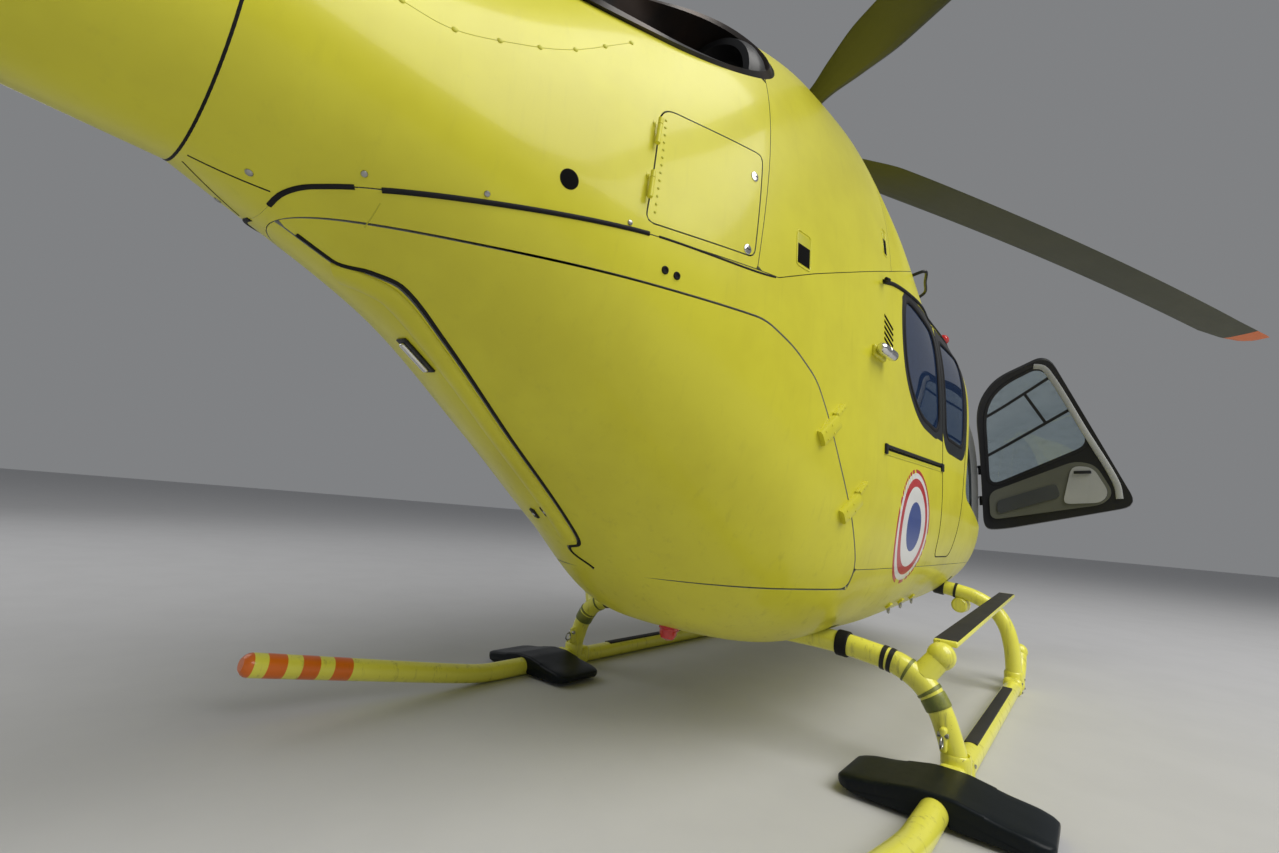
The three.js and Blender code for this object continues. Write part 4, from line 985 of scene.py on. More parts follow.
def skin_piece(name, region, thick, materials, node, body="airframe", slot="yellow_paint", proud=0.0, door=0):
    """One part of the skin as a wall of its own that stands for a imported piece; door is the side of a pilot
    door that it opens with."""
    piece = panel(Piece(name), region, thick, proud)
    if door:
        opened(piece, door)
    piece.make(materials, body, [node], slot, closed=False)


def body_panels():
    """The skin cut into its panels by the outlines, each less half a seam; the belly is notched round the
    two cross tubes."""
    def grown(outline, by=HALF_SEAM, side=0):
        return area(outline, side, by)

    frame_area = none_of(
        grown(hull_outline), grown(nose_outline), grown(UPPER),
        all_of(grown(windshield, GLASS_GAP), lambda p: np.abs(p[:, 1]) - 0.030),
        grown(clamshell, DOOR_SEAM), grown(pilot_door, DOOR_SEAM), grown(sliding_door),
        grown(rear_window, GLASS_GAP))
    slots = [lambda p, x=x, z=z: np.minimum(0.052 - np.abs(p[:, 0] - x), z - p[:, 2])
             for x, z in ((0.0, 0.53), (FRONT_TUBE_X, 0.70))]
    belly = all_of(grown(hull_outline, -HALF_SEAM), none_of(*slots))
    skin_piece("cabin_shell", frame_area, CABIN_WALL, TRIMMED, "cabin_frame")
    skin_piece("belly_shell", belly, CABIN_WALL, PRIMED, "lower_hull")
    skin_piece("nose_cone", grown(nose_outline, -HALF_SEAM), SHEET, PRIMED, "nose_shell")
    upper = grown(UPPER, -HALF_SEAM)
    ahead = [upper, lambda p: -behind_cowl(p) - HALF_SEAM]
    service = none_of(grown(service_door, DOOR_SEAM))
    tail = all_of(upper, lambda p: behind_cowl(p) - HALF_SEAM, service, off_pipe)
    skin_piece("tail_cone_skin", tail, SHEET, PRIMED, "tail_cone")
    front = all_of(*ahead, lambda p: -engine_sides(p) - HALF_SEAM, off_pipe)
    skin_piece("gearbox_cowling_skin", front, SHEET, PRIMED, "gearbox_cowling")
    for word, side in SIDES:
        cowl = all_of(*ahead, lambda p: engine_sides(p) - HALF_SEAM, off_pipe,
                      lambda p, side=side: side * p[:, 1])
        leaf = all_of(grown(clamshell, -DOOR_SEAM), lambda p, side=side: rear_half(side)(p) - DOOR_SEAM)
        hatch = grown(service_door, -DOOR_SEAM * 0.4, side)
        slide = all_of(grown(sliding_door, -HALF_SEAM * 2, side), none_of(grown(sliding_window, GLASS_GAP)))
        screen = all_of(grown(windshield, PANE_SEAM, side), lambda p, side=side: side * p[:, 1] - 0.034)
        door = all_of(grown(pilot_door, -DOOR_SEAM, side), none_of(grown(pilot_window, GLASS_GAP)))
        pilot_body, rear_body = f"pilot_door_{word}_body", f"clamshell_{word}_body"
        skin_piece(f"engine_cowling_skin_{word}", cowl, SHEET, PRIMED, f"engine_cowling_{word}")
        skin_piece(f"clamshell_leaf_{word}", leaf, 0.03, TRIMMED, f"clamshell_door_{word}", rear_body)
        skin_piece(f"service_hatch_{word}", hatch, 0.01, PRIMED, f"service_door_{word}",
                   f"service_{word}_body")
        skin_piece(f"sliding_door_skin_{word}", slide, 0.04, TRIMMED, f"sliding_door_{word}")
        for name, outline, node in (("sliding_pane", sliding_window, "sliding_glass"),
                                    ("rear_pane", rear_window, "rear_window")):
            skin_piece(f"{name}_{word}", grown(outline, PANE_SEAM, side), 0.007, "side glass",
                       f"{node}_{word}", slot="window_glass", proud=-0.004)
        skin_piece(f"windscreen_{word}", screen, 0.008, "front glass", f"windshield_{word}",
                   slot="window_glass", proud=-0.004)
        skin_piece(f"pilot_door_skin_{word}", door, 0.035, ["yellow paint", "black paint"],
                   f"pilot_door_{word}", pilot_body, "door_black", door=side)
        skin_piece(f"pilot_pane_{word}", grown(pilot_window, PANE_SEAM, side), 0.007, "front glass",
                   f"pilot_glass_{word}", pilot_body, "window_glass", -0.010, side)


body_panels()


# Exhaust pipes, boom, fin and tail fan

def exhaust(piece, side):
    """A round pipe wall, cut where it stands proud of the skin: the grid of its length and angle is
    clipped by the height over the skin, and the wall is closed at the cut."""
    def wall(radius):
        return lambda t, turn: pipe_line(t) + radius * np.stack([0 * t, np.cos(turn), np.sin(turn)], -1)

    def under(p):
        belt = BELT(np.clip(p[:, 0], TAIL_X, NOSE_X))
        height = np.hypot(p[:, 1], p[:, 2] - belt)
        turn = np.arctan2(p[:, 2] - belt, p[:, 1])
        ring = skin(np.clip(p[:, 0], TAIL_X, NOSE_X), turn)[:, 1:]
        reach = np.linalg.norm(ring - np.stack([0 * belt, belt], 1), axis=1)
        return np.minimum(reach + PIPE["proud"] - height, p[:, 0] - PIPE["end"])

    outer, inner = wall(PIPE["outer"]), wall(PIPE["inner"])
    params, tris = clip(*grid(np.linspace(0, 1, 90), angles(72), True), outer, under)
    walled(piece, outer(*params.T), inner(*params.T), tris, 0, 0)
    plug = [(0.0, 0.0), (0.07, -0.02), (0.12, 0.0), (0.15, 0.05), (0.175, 0.05), (0.19, 0.02), (0.196, 0.0),
            (0.196, -0.04), (0.0, -0.04)]
    piece.add(*lathe([(r, -h) for r, h in plug], pipe_line(0.05), 48, "x"), 1)
    return piece if side > 0 else piece.mirror()


def tube_rings(x, wide, tall, z):
    """Rings of a round or oval tube that runs along x."""
    ring = circle(1, 72)
    return np.stack([np.broadcast_to(x[:, None], (len(x), 72)), wide[:, None] * ring[:, 0],
                     z[:, None] + tall[:, None] * ring[:, 1]], -1)


def boom():
    """Rings of a round boom through the drawing's rows."""
    rows = millimetres(BOOM_ROWS)
    x = np.linspace(rows[0, 0], rows[-1, 0], 70)
    radius, z = (curve(x) for curve in curves(rows, 1, 2))
    Piece("tail_boom_skin").add(*loft(tube_rings(x, radius, radius, z))).make(
        "yellow paint", replaces=["tail_boom"], slot="tail_paint")


FIN_CURVES = curves(millimetres(FIN_ROWS), 1, 2, 3)
# The oval neck: x, half width, half height, height of its middle
FIN_NECK = ((-5.10, 0.2155, 0.2155, 1.9715), (-5.15, 0.214, 0.214, 1.972), (-5.33, 0.205, 0.212, 1.975),
            (-5.45, 0.165, 0.208, 1.978))


def fin_half(x, z):
    """The fin's half width: a blunt-nosed section (4u(1-u)) to the power 0.62 of the chord share u, drawn
    in by a quarter circle next to the duct so that its lip is round."""
    front, back, thick = (curve(z) for curve in FIN_CURVES)
    u = np.clip((front - x) / (front - back), 0, 1)
    half = np.maximum(4 * u * (1 - u), 0) ** 0.62 * thick / 2
    lip = 0.05
    away = np.clip(np.hypot(x - FAN_PLACE[0], z - FAN_PLACE[1]) - DUCT_RADIUS, 0, lip)
    return np.maximum(half - (lip - np.sqrt(np.maximum(lip ** 2 - (lip - away) ** 2, 0))), 0)


def fin():
    """Two side faces over the chord share and height, cut away inside the duct, the duct's own wall between
    their edges, and the oval neck that runs into the boom. The duct's lip is part of the side faces."""
    front, back, _ = FIN_CURVES
    share = (1 - np.cos(np.linspace(0, np.pi, 90))) / 2
    heights = np.concatenate([[1.188, 1.190, 1.194, 1.2], np.linspace(1.21, 3.49, 150), [3.5, 3.506, 3.51]])
    params, tris = grid(heights, share, False)

    def face(side):
        def surface(z, u):
            x = front(z) + (back(z) - front(z)) * u
            return np.stack([x, side * fin_half(x, z), z], -1)
        return surface

    def off_duct(p):
        return np.hypot(p[:, 0] - FAN_PLACE[0], p[:, 2] - FAN_PLACE[1]) - DUCT_RADIUS - 1e-5

    piece = Piece("tail_fin_skin")
    for side in (1, -1):
        kept, faces = clip(params, tris, face(side), off_duct)
        piece.add(face(side)(*kept.T), faces if side > 0 else faces[:, ::-1])
    for z in heights[[0, -1]]:
        rim = np.stack([face(s)(np.full(len(share), z), share) for s in (1, -1)])
        piece.add(rim, sheet_faces(2, len(share)))
    turn = np.linspace(0, 2 * np.pi, 181)
    x, z = FAN_PLACE[0] + DUCT_RADIUS * np.cos(turn), FAN_PLACE[1] + DUCT_RADIUS * np.sin(turn)
    across = np.linspace(-1, 1, 7)[:, None]
    duct = np.stack([np.broadcast_to(x, (7, 181)), across * fin_half(x, z), np.broadcast_to(z, (7, 181))], -1)
    piece.add(duct, sheet_faces(7, 181)[:, ::-1], 1)
    x = np.linspace(-5.155, -5.50, 16)
    piece.add(*loft(tube_rings(x, *(curve(x) for curve in curves(np.array(FIN_NECK), 1, 2, 3)))[:9]))
    piece.make(["yellow paint", "grey trim"], replaces=["tail_fin"], slot="tail_paint")


def wing_ring(chord, thick):
    """A symmetrical aerofoil's closed outline: the drawing's half section run back along the other side."""
    u, h = np.array(WING_SECTION).T
    share = (1 - np.cos(np.linspace(0, np.pi, 20))) / 2
    half = monotone(np.sqrt(u), h)(np.sqrt(share)) / 2
    top = np.stack([-share * chord, half * thick], 1)
    low = np.stack([-share[::-1] * chord, -half[::-1] * thick], 1)
    return np.concatenate([top, low[1:-1]])


def upright_rings(ring, x, y, z):
    """A flat ring of the plan set at a place and a height."""
    return np.stack([x + ring[:, 0], y + ring[:, 1], np.full(len(ring), z)], 1)


def tailplane():
    """A straight wing across the boom and a vertical plate at each tip, all lofts of one aerofoil."""
    ring = wing_ring(0.430, 0.062)
    ys = np.concatenate([[-1.325, -1.32], np.linspace(-1.31, 1.31, 41), [1.32, 1.325]])
    rings = [np.stack([-4.48 + ring[:, 0], np.full(len(ring), y), 1.985 + ring[:, 1]], 1) for y in ys]
    piece = Piece("tailplane_skin").add(*loft(rings))
    rows = millimetres(PLATE_ROWS)
    heights = np.linspace(rows[0, 0], rows[-1, 0], 40)
    front, chord = (curve(heights) for curve in curves(rows, 1, 2))
    from_end = np.minimum(heights - rows[0, 0], rows[-1, 0] - heights)
    edge = np.maximum(np.sqrt(np.clip(from_end / 0.03, 0, 1)), 0.1)
    for side in (-1, 1):
        piece.add(*loft([upright_rings(wing_ring(c, 0.036 * e), x, side * 1.325, z)
                         for z, x, c, e in zip(heights, front, chord, edge)]))
    piece.make("yellow paint", replaces=["tailplane"], slot="tail_paint")


def vane(radii, angle, pitch, chord, thick, place):
    """One lens section, given its chord and thickness and turned to its pitch, lofted outwards at an angle
    round the hub."""
    out, chordwise = np.array([(math.cos(angle), 0, math.sin(angle)), (-math.sin(angle), 0, math.cos(angle))])
    (c, h), pitch = np.array(BLADE_SECTION).T * [[chord], [thick]], pitch[:, None]
    along, over = c * np.cos(pitch) - h * np.sin(pitch), c * np.sin(pitch) + h * np.cos(pitch)
    return loft(radii[:, None, None] * out + along[..., None] * chordwise
                + over[..., None] * np.array([0, 1, 0]) + place)


def fan():
    """Ten blades at uneven angles on a round hub, eleven even vanes that hold it, and the tail's guard."""
    x, z = FAN_PLACE
    hub = [(0, -0.170), (0.03, -0.168), (0.06, -0.160), (0.10, -0.135), (0.130, -0.105), (0.160, -0.104),
           (0.160, -0.016), (0.150, -0.015), (0.042, -0.015), (0.042, 0.0047), (0, 0.0047)]
    piece = Piece("tail_fan_blades").add(*lathe(hub, (x, 0, z), 64, "y"), 1)
    radii = np.linspace(0.14, FAN_RADIUS, 10)
    pitch = np.radians(34 - 14 * (radii - 0.14) / 0.35)
    for angle in np.radians(FAN_ANGLES):
        piece.add(*vane(radii, angle, pitch, 0.062, 0.006, (x, -0.06, z)))
    piece.make(["fan alloy", "machine grey"], "tail_rotor", ["tail_fan"], "fan_grey")
    drum = [(0, 0.0055), (0.15, 0.0055), (0.15, 0.02), (0.145, 0.08), (0.125, 0.13), (0.11, 0.149),
            (0.06, 0.1495), (0, 0.1495)]
    stator = Piece("stator_vanes").add(*lathe(drum, (x, 0, z), 64, "y"), 1)
    radii = np.linspace(0.10, 0.4965, 8)
    for k in range(11):
        stator.add(*vane(radii, math.radians(k * 360 / 11 + 11), np.full(8, math.radians(78)), 0.060, 0.007,
                         (x, 0.07, z)))
    stator.make(["fan alloy", "machine grey"], replaces=["tail_stator"], slot="fan_grey")
    guard = flowing(((-5.56, 0, 1.29), (-5.70, 0, 1.15), (-5.96, 0, 1.10), (-6.26, 0, 1.12)), 60)[8:]
    Piece("tail_guard").add(*sweep(guard, circle(0.0155, 20), (0, 1, 0))).make(
        "black paint", replaces=["tail_bumper"], slot="door_black")


pair("exhaust_stack", exhaust, materials=["burnt steel", "black paint"],
     replaces=lambda w: [f"exhaust_pipe_{w}"], slot="pipe_steel")
boom()
fin()
tailplane()
fan()


# Rotor

def blade(piece, angle):
    """A loft of one cambered section through the blade's rows of chord, thickness and sweep; the blade
    droops as the square of its radius, and its tip runs straight from row to row."""
    rows = millimetres(BLADE_ROWS)
    spans = ((0.188, 0.9, 22), (0.95, 4.6, 42), (4.65, 5.099, 16))
    radii = np.concatenate([np.linspace(*span) for span in spans])
    chord, thick, back = (np.where(radii < 4.65, curve(radii), np.interp(radii, rows[:, 0], rows[:, k]))
                          for k, curve in enumerate(curves(rows, 1, 2, 3), 1))
    fine = spread(np.array(BLADE_SECTION), 0.035, True)
    z = ROTOR["z"] - ROTOR["droop"] * (radii / ROTOR["radius"]) ** 2
    across = fine[None, :, 0] * chord[:, None] - back[:, None]
    up = z[:, None] + fine[None, :, 1] * thick[:, None] / 2
    c, s = math.cos(math.radians(angle)), math.sin(math.radians(angle))
    rings = np.stack([ROTOR["x"] + radii[:, None] * c - across * s, radii[:, None] * s + across * c, up], -1)
    points, faces = loft(rings)
    tip = np.repeat(np.concatenate([radii[:1], radii]) > ORANGE_TIP, points.shape[1])
    piece.add(points, faces[~tip], 0, (faces[tip], 1))
    return piece


def rotor():
    """Four blades, the hub plate they meet, its eight bolts, and the mast's cover under it."""
    x = ROTOR["x"]
    for k in range(4):
        blade(Piece(f"main_blade_{k + 1}"), ROTOR["rest"] + 90 * k).make(
            ["blade olive", "orange paint"], "main_rotor", [f"rotor_blade_{k + 1}"], "blade_olive")
    hub = [(0, 3.1205), (0.072, 3.1205), (0.072, 3.15), (0.066, 3.155), (0.066, 3.225), (0.09, 3.245),
           (0.13, 3.27), (0.200, 3.272), (0.205, 3.28), (0.205, 3.338), (0.198, 3.345), (0.12, 3.35),
           (0.118, 3.375), (0.10, 3.383), (0.062, 3.398), (0.03, 3.404), (0, 3.405)]
    Piece("hub_plate").add(*lathe(hub, (x, 0, 0), 72)).make(
        "machine grey", "main_rotor", ["rotor_hub"], "machine_metal")
    bolts = Piece("hub_bolts")
    bolt = [(0, 3.338), (0.016, 3.338), (0.016, 3.356), (0.012, 3.360), (0, 3.360)]
    for a in (math.radians(ROTOR["rest"] + 90 * k + lean) for k in range(4) for lean in (-13, 13)):
        bolts.add(*lathe(bolt, (x + 0.172 * math.cos(a), 0.172 * math.sin(a), 0), 12))
    bolts.make("bright metal", "main_rotor", slot="machine_metal")
    mast = [(0, 2.8903), (0.125, 2.8903), (0.1245, 2.94), (0.119, 3.02), (0.117, 3.03), (0.097, 3.115),
            (0.094, 3.1199), (0, 3.1199)]
    Piece("mast_cover").add(*lathe(mast, (x, 0, 0), 64)).make(
        "black paint", replaces=["mast_housing"], slot="machine_metal")


rotor()


# Landing gear

SKID_BANDS = ((-1.81, -1.767), (-1.717, -1.646), (-1.593, -1.523), (-1.463, -1.380))


def skid(piece, side):
    """A round tube carried along the skid's smooth side path, its nose closed by a ball and its tail by a
    rounded cap; the tail carries orange bands and one thin dark line."""
    path = spread(flowing([(x, side * TRACK, z) for x, z in millimetres(SKID)], 900), 0.010)
    path[:, 2] = np.maximum(path[:, 2], SKID_HIGH + 0.0003)
    banded = path[:, 0] < -1.25
    path = np.vstack([path[~banded][::2], path[banded]])
    size = np.ones(len(path))
    size[-4:] = (0.98, 0.93, 0.80, 0.55)
    rings, faces = sweep(path, circle(TUBE, 36), (0, 1, 0), size)
    across = np.concatenate([path[:1, 0], path[:, 0]])[: len(faces) // 36]
    inside = [(across > low) & (across < high) for low, high in SKID_BANDS]
    mask = np.repeat(np.any(inside, axis=0), 36)
    dark = np.repeat((across > -1.289) & (across < -1.280), 36)
    piece.add(rings, faces[~(mask | dark)], 0, (faces[mask], 1), (faces[dark], 2))
    toe = np.linspace(-np.pi / 2, np.pi / 2, 20)
    ball = np.stack([0.0525 * np.cos(toe), 0.0525 * np.sin(toe)], 1)
    return piece.add(*lathe(ball, (2.310, side * TRACK, 0.224), 36))


def cross_tube(name, node, x, rows):
    """A bent round tube from one skid to the other: the drawing's half path and its mirror, smoothed."""
    half = millimetres(rows)
    points = flowing([(x, y, z) for y, z in np.vstack([(half[1:] * (-1, 1))[::-1], half])], 130)
    Piece(name).add(*sweep(points, circle(0.0466, 40), (1, 0, 0))).make(
        "gear paint", replaces=[node], slot="gear_paint")
    return points


def step_board(piece, side):
    """A flat walkway board on two stubs, with a round ball at its rear end that sits on the aft tube."""
    a, b = np.array([0.110, side * 0.985, 0.52152]), np.array([2.230, side * 0.985, 0.602])
    middle, long = (a + b) / 2, np.linalg.norm(b - a)
    along = (b - a) / long
    axes = np.stack([along, (0, 1, 0), np.cross(along, (0, 1, 0))])
    piece.add(*block(middle, (long, 0.094, 0.025), 0.008, axes), 0)
    piece.add(*block(middle + axes[2] * 0.0118, (long - 0.03, 0.088, 0.0022), 0.001, axes), 1)
    turn = np.linspace(-np.pi / 2, np.pi / 2, 24)
    ball = np.stack([0.0555 * np.cos(turn), 0.0555 * np.sin(turn)], 1)
    piece.add(*lathe(ball, (0.048, side * 0.982, 0.478), 40), 0)
    piece.add(*rod((0.048, side * 0.982, 0.478), (0.005, side * 0.915, 0.388), 0.0455, 28, 0.0495), 0)
    return piece.add(*rod((FRONT_TUBE_X, side * 0.985, 0.590), (FRONT_TUBE_X, side * 0.945, 0.520), 0.026, 24,
                          0.030), 0)


def ground_plate(piece, side):
    """A thick plate that bridges the skid: its section, a low crown that falls to a rolled lip at each
    side with a passage for the tube below, is carried along x with its ends and corners drawn in."""
    inner, z = TUBE + 0.0012, SKID_HIGH
    a = np.linspace(0, np.pi, 25)
    tunnel = np.stack([np.cos(a) * inner, z + np.sin(a) * inner], 1)
    crown = flowing([(-0.330, z - 0.004), (-0.327, z + 0.008), (-0.296, z + 0.020), (-0.200, z + 0.033),
                     (-0.100, z + 0.0515), (-0.055, z + 0.0595), (0, z + 0.0605)], 40)
    foot = [(0.329, z - 0.014), (0.322, z - 0.0225), (0.300, z - 0.0295), (inner + 0.003, z - 0.0295),
            (inner, z - 0.026)]
    outline = np.vstack([crown, crown[:-1][::-1] * (-1, 1), foot, tunnel, [(-y, h) for y, h in foot[::-1]]])
    ends, lip = np.array([0.0, 0.0008, 0.003, 0.007, 0.013]), [0.011, 0.007, 0.0035, 0.001, 0]
    xs = np.concatenate([-0.405 + ends, np.linspace(-0.385, -0.125, 14), -0.105 - ends[::-1]])
    fall = np.concatenate([lip, np.zeros(14), lip[::-1]])
    corner = 0.045 * np.clip((np.abs(xs + 0.255) - 0.105) / 0.045, 0, 1) ** 2.4
    y, h = outline[None, :, 0], outline[None, :, 1]
    far = y * (1 - corner[:, None] / 0.33 * (np.abs(y) > 0.15))
    high = np.where(h > z - 0.02, h - fall[:, None], h)
    high = np.where(np.hypot(y, h - z) < inner + 0.002, h, high)
    return piece.add(*loft(np.stack([np.broadcast_to(xs[:, None], far.shape), side * TRACK + far, high], -1)))


pair("skid", skid, materials=["gear paint", "orange paint", "rubber"], replaces=lambda w: [f"skid_tube_{w}"],
     slot="gear_paint")
aft_line = cross_tube("aft_cross_tube", "cross_tube_aft", 0.0, AFT_TUBE)
front_line = cross_tube("front_cross_tube", "cross_tube_front", FRONT_TUBE_X, FRONT_TUBE)
pair("step_board", step_board, materials=["gear paint", "tread"], replaces=lambda w: [f"step_{w}"],
     slot="gear_paint")
pair("skid_plate", ground_plate, materials="black plate", replaces=lambda w: [f"ground_plate_{w}"],
     slot="plate_black")


# Small parts on the skin

FITTINGS = ["yellow paint", "black paint", "rubber", "bright metal", "red lens", "clear lens",
            "dark trim", "grey trim", "gear paint", "gear fitting", "tread", "steel", "olive trim",
            "deep black", "yellow seam"]
# Of these, the near-black is painted shadow, and the darker seam yellow also serves as painted shade.
(YELLOW, BLACK, RUBBER, BRIGHT, RED, CLEAR, DARK, TRIM, GEAR, GREEN, TREAD, STEEL, OLIVE, SHADOW_BLACK,
 SEAM_AND_SHADE) = range(len(FITTINGS))
# Each hinge's knuckles along its line, the strap's way over the skin, length, width, height and paint
STRAPS = {
    "pilot": (((190, 240), (430, 480)), (-1.0, 0.0), 0.055, 0.034, 0.0045, BLACK),
    "clamshell": (((52, 82), (400, 430)), (-0.766, -0.642), 0.125, 0.062, 0.020, YELLOW),
    "service": (((60, 120), (230, 290)), (1.0, 0.0), 0.012, 0.040, 0.0015, YELLOW),
}
LUG = 22 * MM
STRAP_SINK = 0.004
STRAP_CLEAR = -0.0008


def under_skin(x, y):
    """The skin's point and normal below the belt at a place of the plan, found by halving the angle."""
    x, y = np.broadcast_arrays(np.asarray(x, float), np.asarray(y, float))
    turn = halved(x, -np.pi / 2, 0.0, lambda t: skin(x, t)[..., 1] < np.abs(y))
    one = np.ones(x.shape)
    flip = np.stack([one, np.where(y < 0, -1.0, 1.0), one], -1)
    return skin(x, turn) * flip, skin_normal(x, turn) * flip


def place_on(line, side):
    """Points and normals of the skin along a line of the side view, or of the plan where side is zero."""
    line = np.asarray(line, float)
    return on_skin(line[:, 0], line[:, 1], side) if side else under_skin(line[:, 0], line[:, 1])


def bead_profile(width, height, sink=0.004):
    """Half an ellipse over a flat base that lies a little inside the surface."""
    a = np.linspace(np.pi, 0, 11)
    top = np.stack([np.cos(a) * width / 2, np.sin(a) * height], 1)
    return np.concatenate([top, [(width / 2, -sink), (-width / 2, -sink)]])


def flat_profile(width, height, sink=0.004):
    """A flat band with small rounded shoulders over a base that lies inside the surface."""
    r, w = min(height, width / 4) * 0.8, width / 2
    return np.array([(-w, -sink), (-w, height - r), (-w + r * 0.3, height - r * 0.3), (-w + r, height),
                     (w - r, height), (w - r * 0.3, height - r * 0.3), (w, height - r), (w, -sink)])


def band(piece, path, side, profile, closed=False, paint=0, step=0.02):
    """A profile carried over the skin along a line, with its top along the normals."""
    points, normals = place_on(spread(path, step, closed), side)
    piece.add(*sweep(points, profile, normals, closed=closed), paint)
    return piece


def spun(rows, point, axes, sides):
    """A profile of (radius, height) turned about the third direction at a point of a surface."""
    local, faces = lathe(rows, (0, 0, 0), sides)
    return local @ np.asarray(axes) + point, faces


def seated(piece, place, side, rows, sides, paint):
    """A turned profile that stands on the skin at a place of the side view, or of the plan where side is
    zero."""
    point, normal = on_skin(*place, side) if side else under_skin(*place)
    piece.add(*spun(rows, point, facing(normal), sides), paint)


def boss(piece, place, side, height, size, radius, paint):
    """A rounded block on the skin, its middle at a height over it; places as above."""
    point, normal = on_skin(*place, side) if side else under_skin(*place)
    piece.add(*block(point + normal * height, size, radius, facing(normal)), paint)
    return point, normal


def wire_eye(piece, centre, radius, sides, count, paint):
    """A round wire eye that stands upright along the body."""
    turn = angles(count)
    line = centre + np.stack([radius * np.cos(turn), 0 * turn, radius * np.sin(turn)], 1)
    piece.add(*sweep(line, circle(0.0042, sides), (0, 1, 0), closed=True), paint)


def slab(outline, half, bevel, point, axes):
    """A flat outline raised by the same half height on both sides of a point's plane, its edges drawn in."""
    outline = np.asarray(outline, float)
    middle = outline.mean(0)
    size = np.linalg.norm(outline - middle, axis=1).mean()
    rings = []
    for h, inset in ((-half, bevel), (bevel - half, 0), (half - bevel, 0), (half - bevel * 0.3, bevel * 0.35),
                     (half, bevel)):
        flat = middle + (outline - middle) * (1 - inset / size)
        rings.append(np.column_stack([flat, np.full(len(flat), h)]))
    points, faces = loft(rings)
    return points @ np.asarray(axes) + point, faces


def stud(piece, point, normal, radius, height, paint):
    """A low domed head that sits a little in the surface."""
    rows = [(0, -0.003), (radius, -0.003), (radius, height * 0.35), (radius * 0.86, height * 0.72),
            (radius * 0.5, height * 0.95), (0, height)]
    piece.add(*spun(rows, point, facing(normal), 14), paint)


def studs(piece, places, side, radius, height, paint):
    """The same head at several places of the side view."""
    for place in places:
        stud(piece, *on_skin(*place, side), radius, height, paint)


def rivets(piece, path, side, pitch, radius, height, paint):
    """Small heads along a line of the skin at an even pitch, all worked out at once."""
    points, normals = place_on(spread(path, pitch), side)
    along = np.cross(normals, (0.31, 0.17, 0.93))
    along /= np.linalg.norm(along, axis=1)[:, None]
    axes = np.stack([along, np.cross(normals, along), normals], 1)
    rows = [(0, -0.002), (radius, -0.002), (radius, height * 0.4), (radius * 0.6, height), (0, height * 1.1)]
    head, faces = lathe(rows, (0, 0, 0), 8)
    heads = np.einsum("vk,nkj->nvj", head.reshape(-1, 3), axes) + points[:, None]
    faces = faces[None] + np.arange(len(points))[:, None, None] * head.shape[0] * head.shape[1]
    piece.add(heads, faces.reshape(-1, 4), paint)


def hinges(name):
    """Each knuckle is a barrel on the leaf and a lug of the frame just above it on one pin, each with a
    strap that follows the skin and is held by studs. The pilot door's leaf strap lies just clear of the
    skin, so that it doesn't meet the frame when the door closes."""
    knuckles, way, length, wide, height, paint = STRAPS[name]
    way = np.array(way)
    for word, side in SIDES:
        a, b, _, radius = hinge_of(name, side)
        line = (b - a) / np.linalg.norm(b - a)
        leaf, fixed = Piece(f"{name}_hinge_leaf_{word}"), Piece(f"{name}_hinge_lug_{word}")
        for start, end in knuckles:
            low, high = a + line * start * MM, a + line * end * MM
            top = high + line * LUG
            leaf.add(*rod(low, high, radius * 0.97, 20), paint)
            fixed.add(*rod(high + line * 0.0006, top, radius * 0.97, 20), paint)
            for piece, middle, span, across in ((leaf, (low + high) / 2, length, wide),
                                                (fixed, (high + top) / 2, -length * 0.55, LUG * 0.9)):
                foot = middle[[0, 2]]
                sink = STRAP_CLEAR if piece is leaf and name == "pilot" else STRAP_SINK
                band(piece, [foot, foot + way * span], side, flat_profile(across, height, sink),
                     paint=paint, step=0.01)
                broad = abs(span) > 0.05
                for t in [0.45, 0.8] if broad else [0.65]:
                    for shift in (-0.26, 0.26) if across > 0.03 and broad else (0,):
                        at = foot + way * span * t + np.array([-way[1], way[0]]) * across * shift
                        point, normal = on_skin(*at, side)
                        stud(piece, point + normal * (height - 0.0003), normal, 0.0048, 0.0024,
                             BRIGHT if paint == BLACK else paint)
        if name == "pilot":
            opened(leaf, side)
        leaf.make(FITTINGS, f"{name}_{'door_' if name == 'pilot' else ''}{word}_body")
        fixed.make(FITTINGS)


for hinge_name in STRAPS:
    hinges(hinge_name)


def seals(piece, side):
    """The black beads of one side: the thick rear part of the deck line with its loop round the tail, the
    thin part forward of it, the window rubbers, and the rail that the sliding door's top runs in."""
    line = flowing(deck_line[:-1], 160)
    loop = TAIL_LOOP[(TAIL_LOOP[:, 1] > LOW(TAIL_LOOP[:, 0]) + 0.004) & (TAIL_LOOP[:, 0] < -2.18)]
    rear = line[(line[:, 0] > -2.14) & (line[:, 0] < -1.53)]
    thin = line[(line[:, 0] >= -1.53) & (line[:, 0] < -1.02)]
    band(piece, loop, side, bead_profile(0.012, 0.004), step=0.006)
    band(piece, rear, side, bead_profile(0.013, 0.0045))
    band(piece, thin, side, bead_profile(0.007, 0.002))
    for outline, width, height in ((rear_window, 0.024, 0.005), (sliding_window, 0.022, 0.005),
                                   (sliding_door, 0.007, 0.002)):
        band(piece, outline, side, bead_profile(width, height), True)
    rail = flowing(((-0.20, 2.045), (-0.05, 2.09), (0.16, 2.135), (0.50, 2.19), (0.92, 2.24), (1.40, 2.285),
                    (1.87, 2.325)), 90)
    band(piece, rail, side, bead_profile(0.020, 0.009))
    end, normal = on_skin(*rail[0], side)
    bent = end + normal * 0.026
    piece.add(*rod(end + normal * 0.004, end + normal * 0.030, 0.0085, 14))
    return piece.add(*rod(bent, bent + np.array([-0.045, 0, -0.012]), 0.0080, 14))


pair("rubber_seals", seals, materials="rubber")


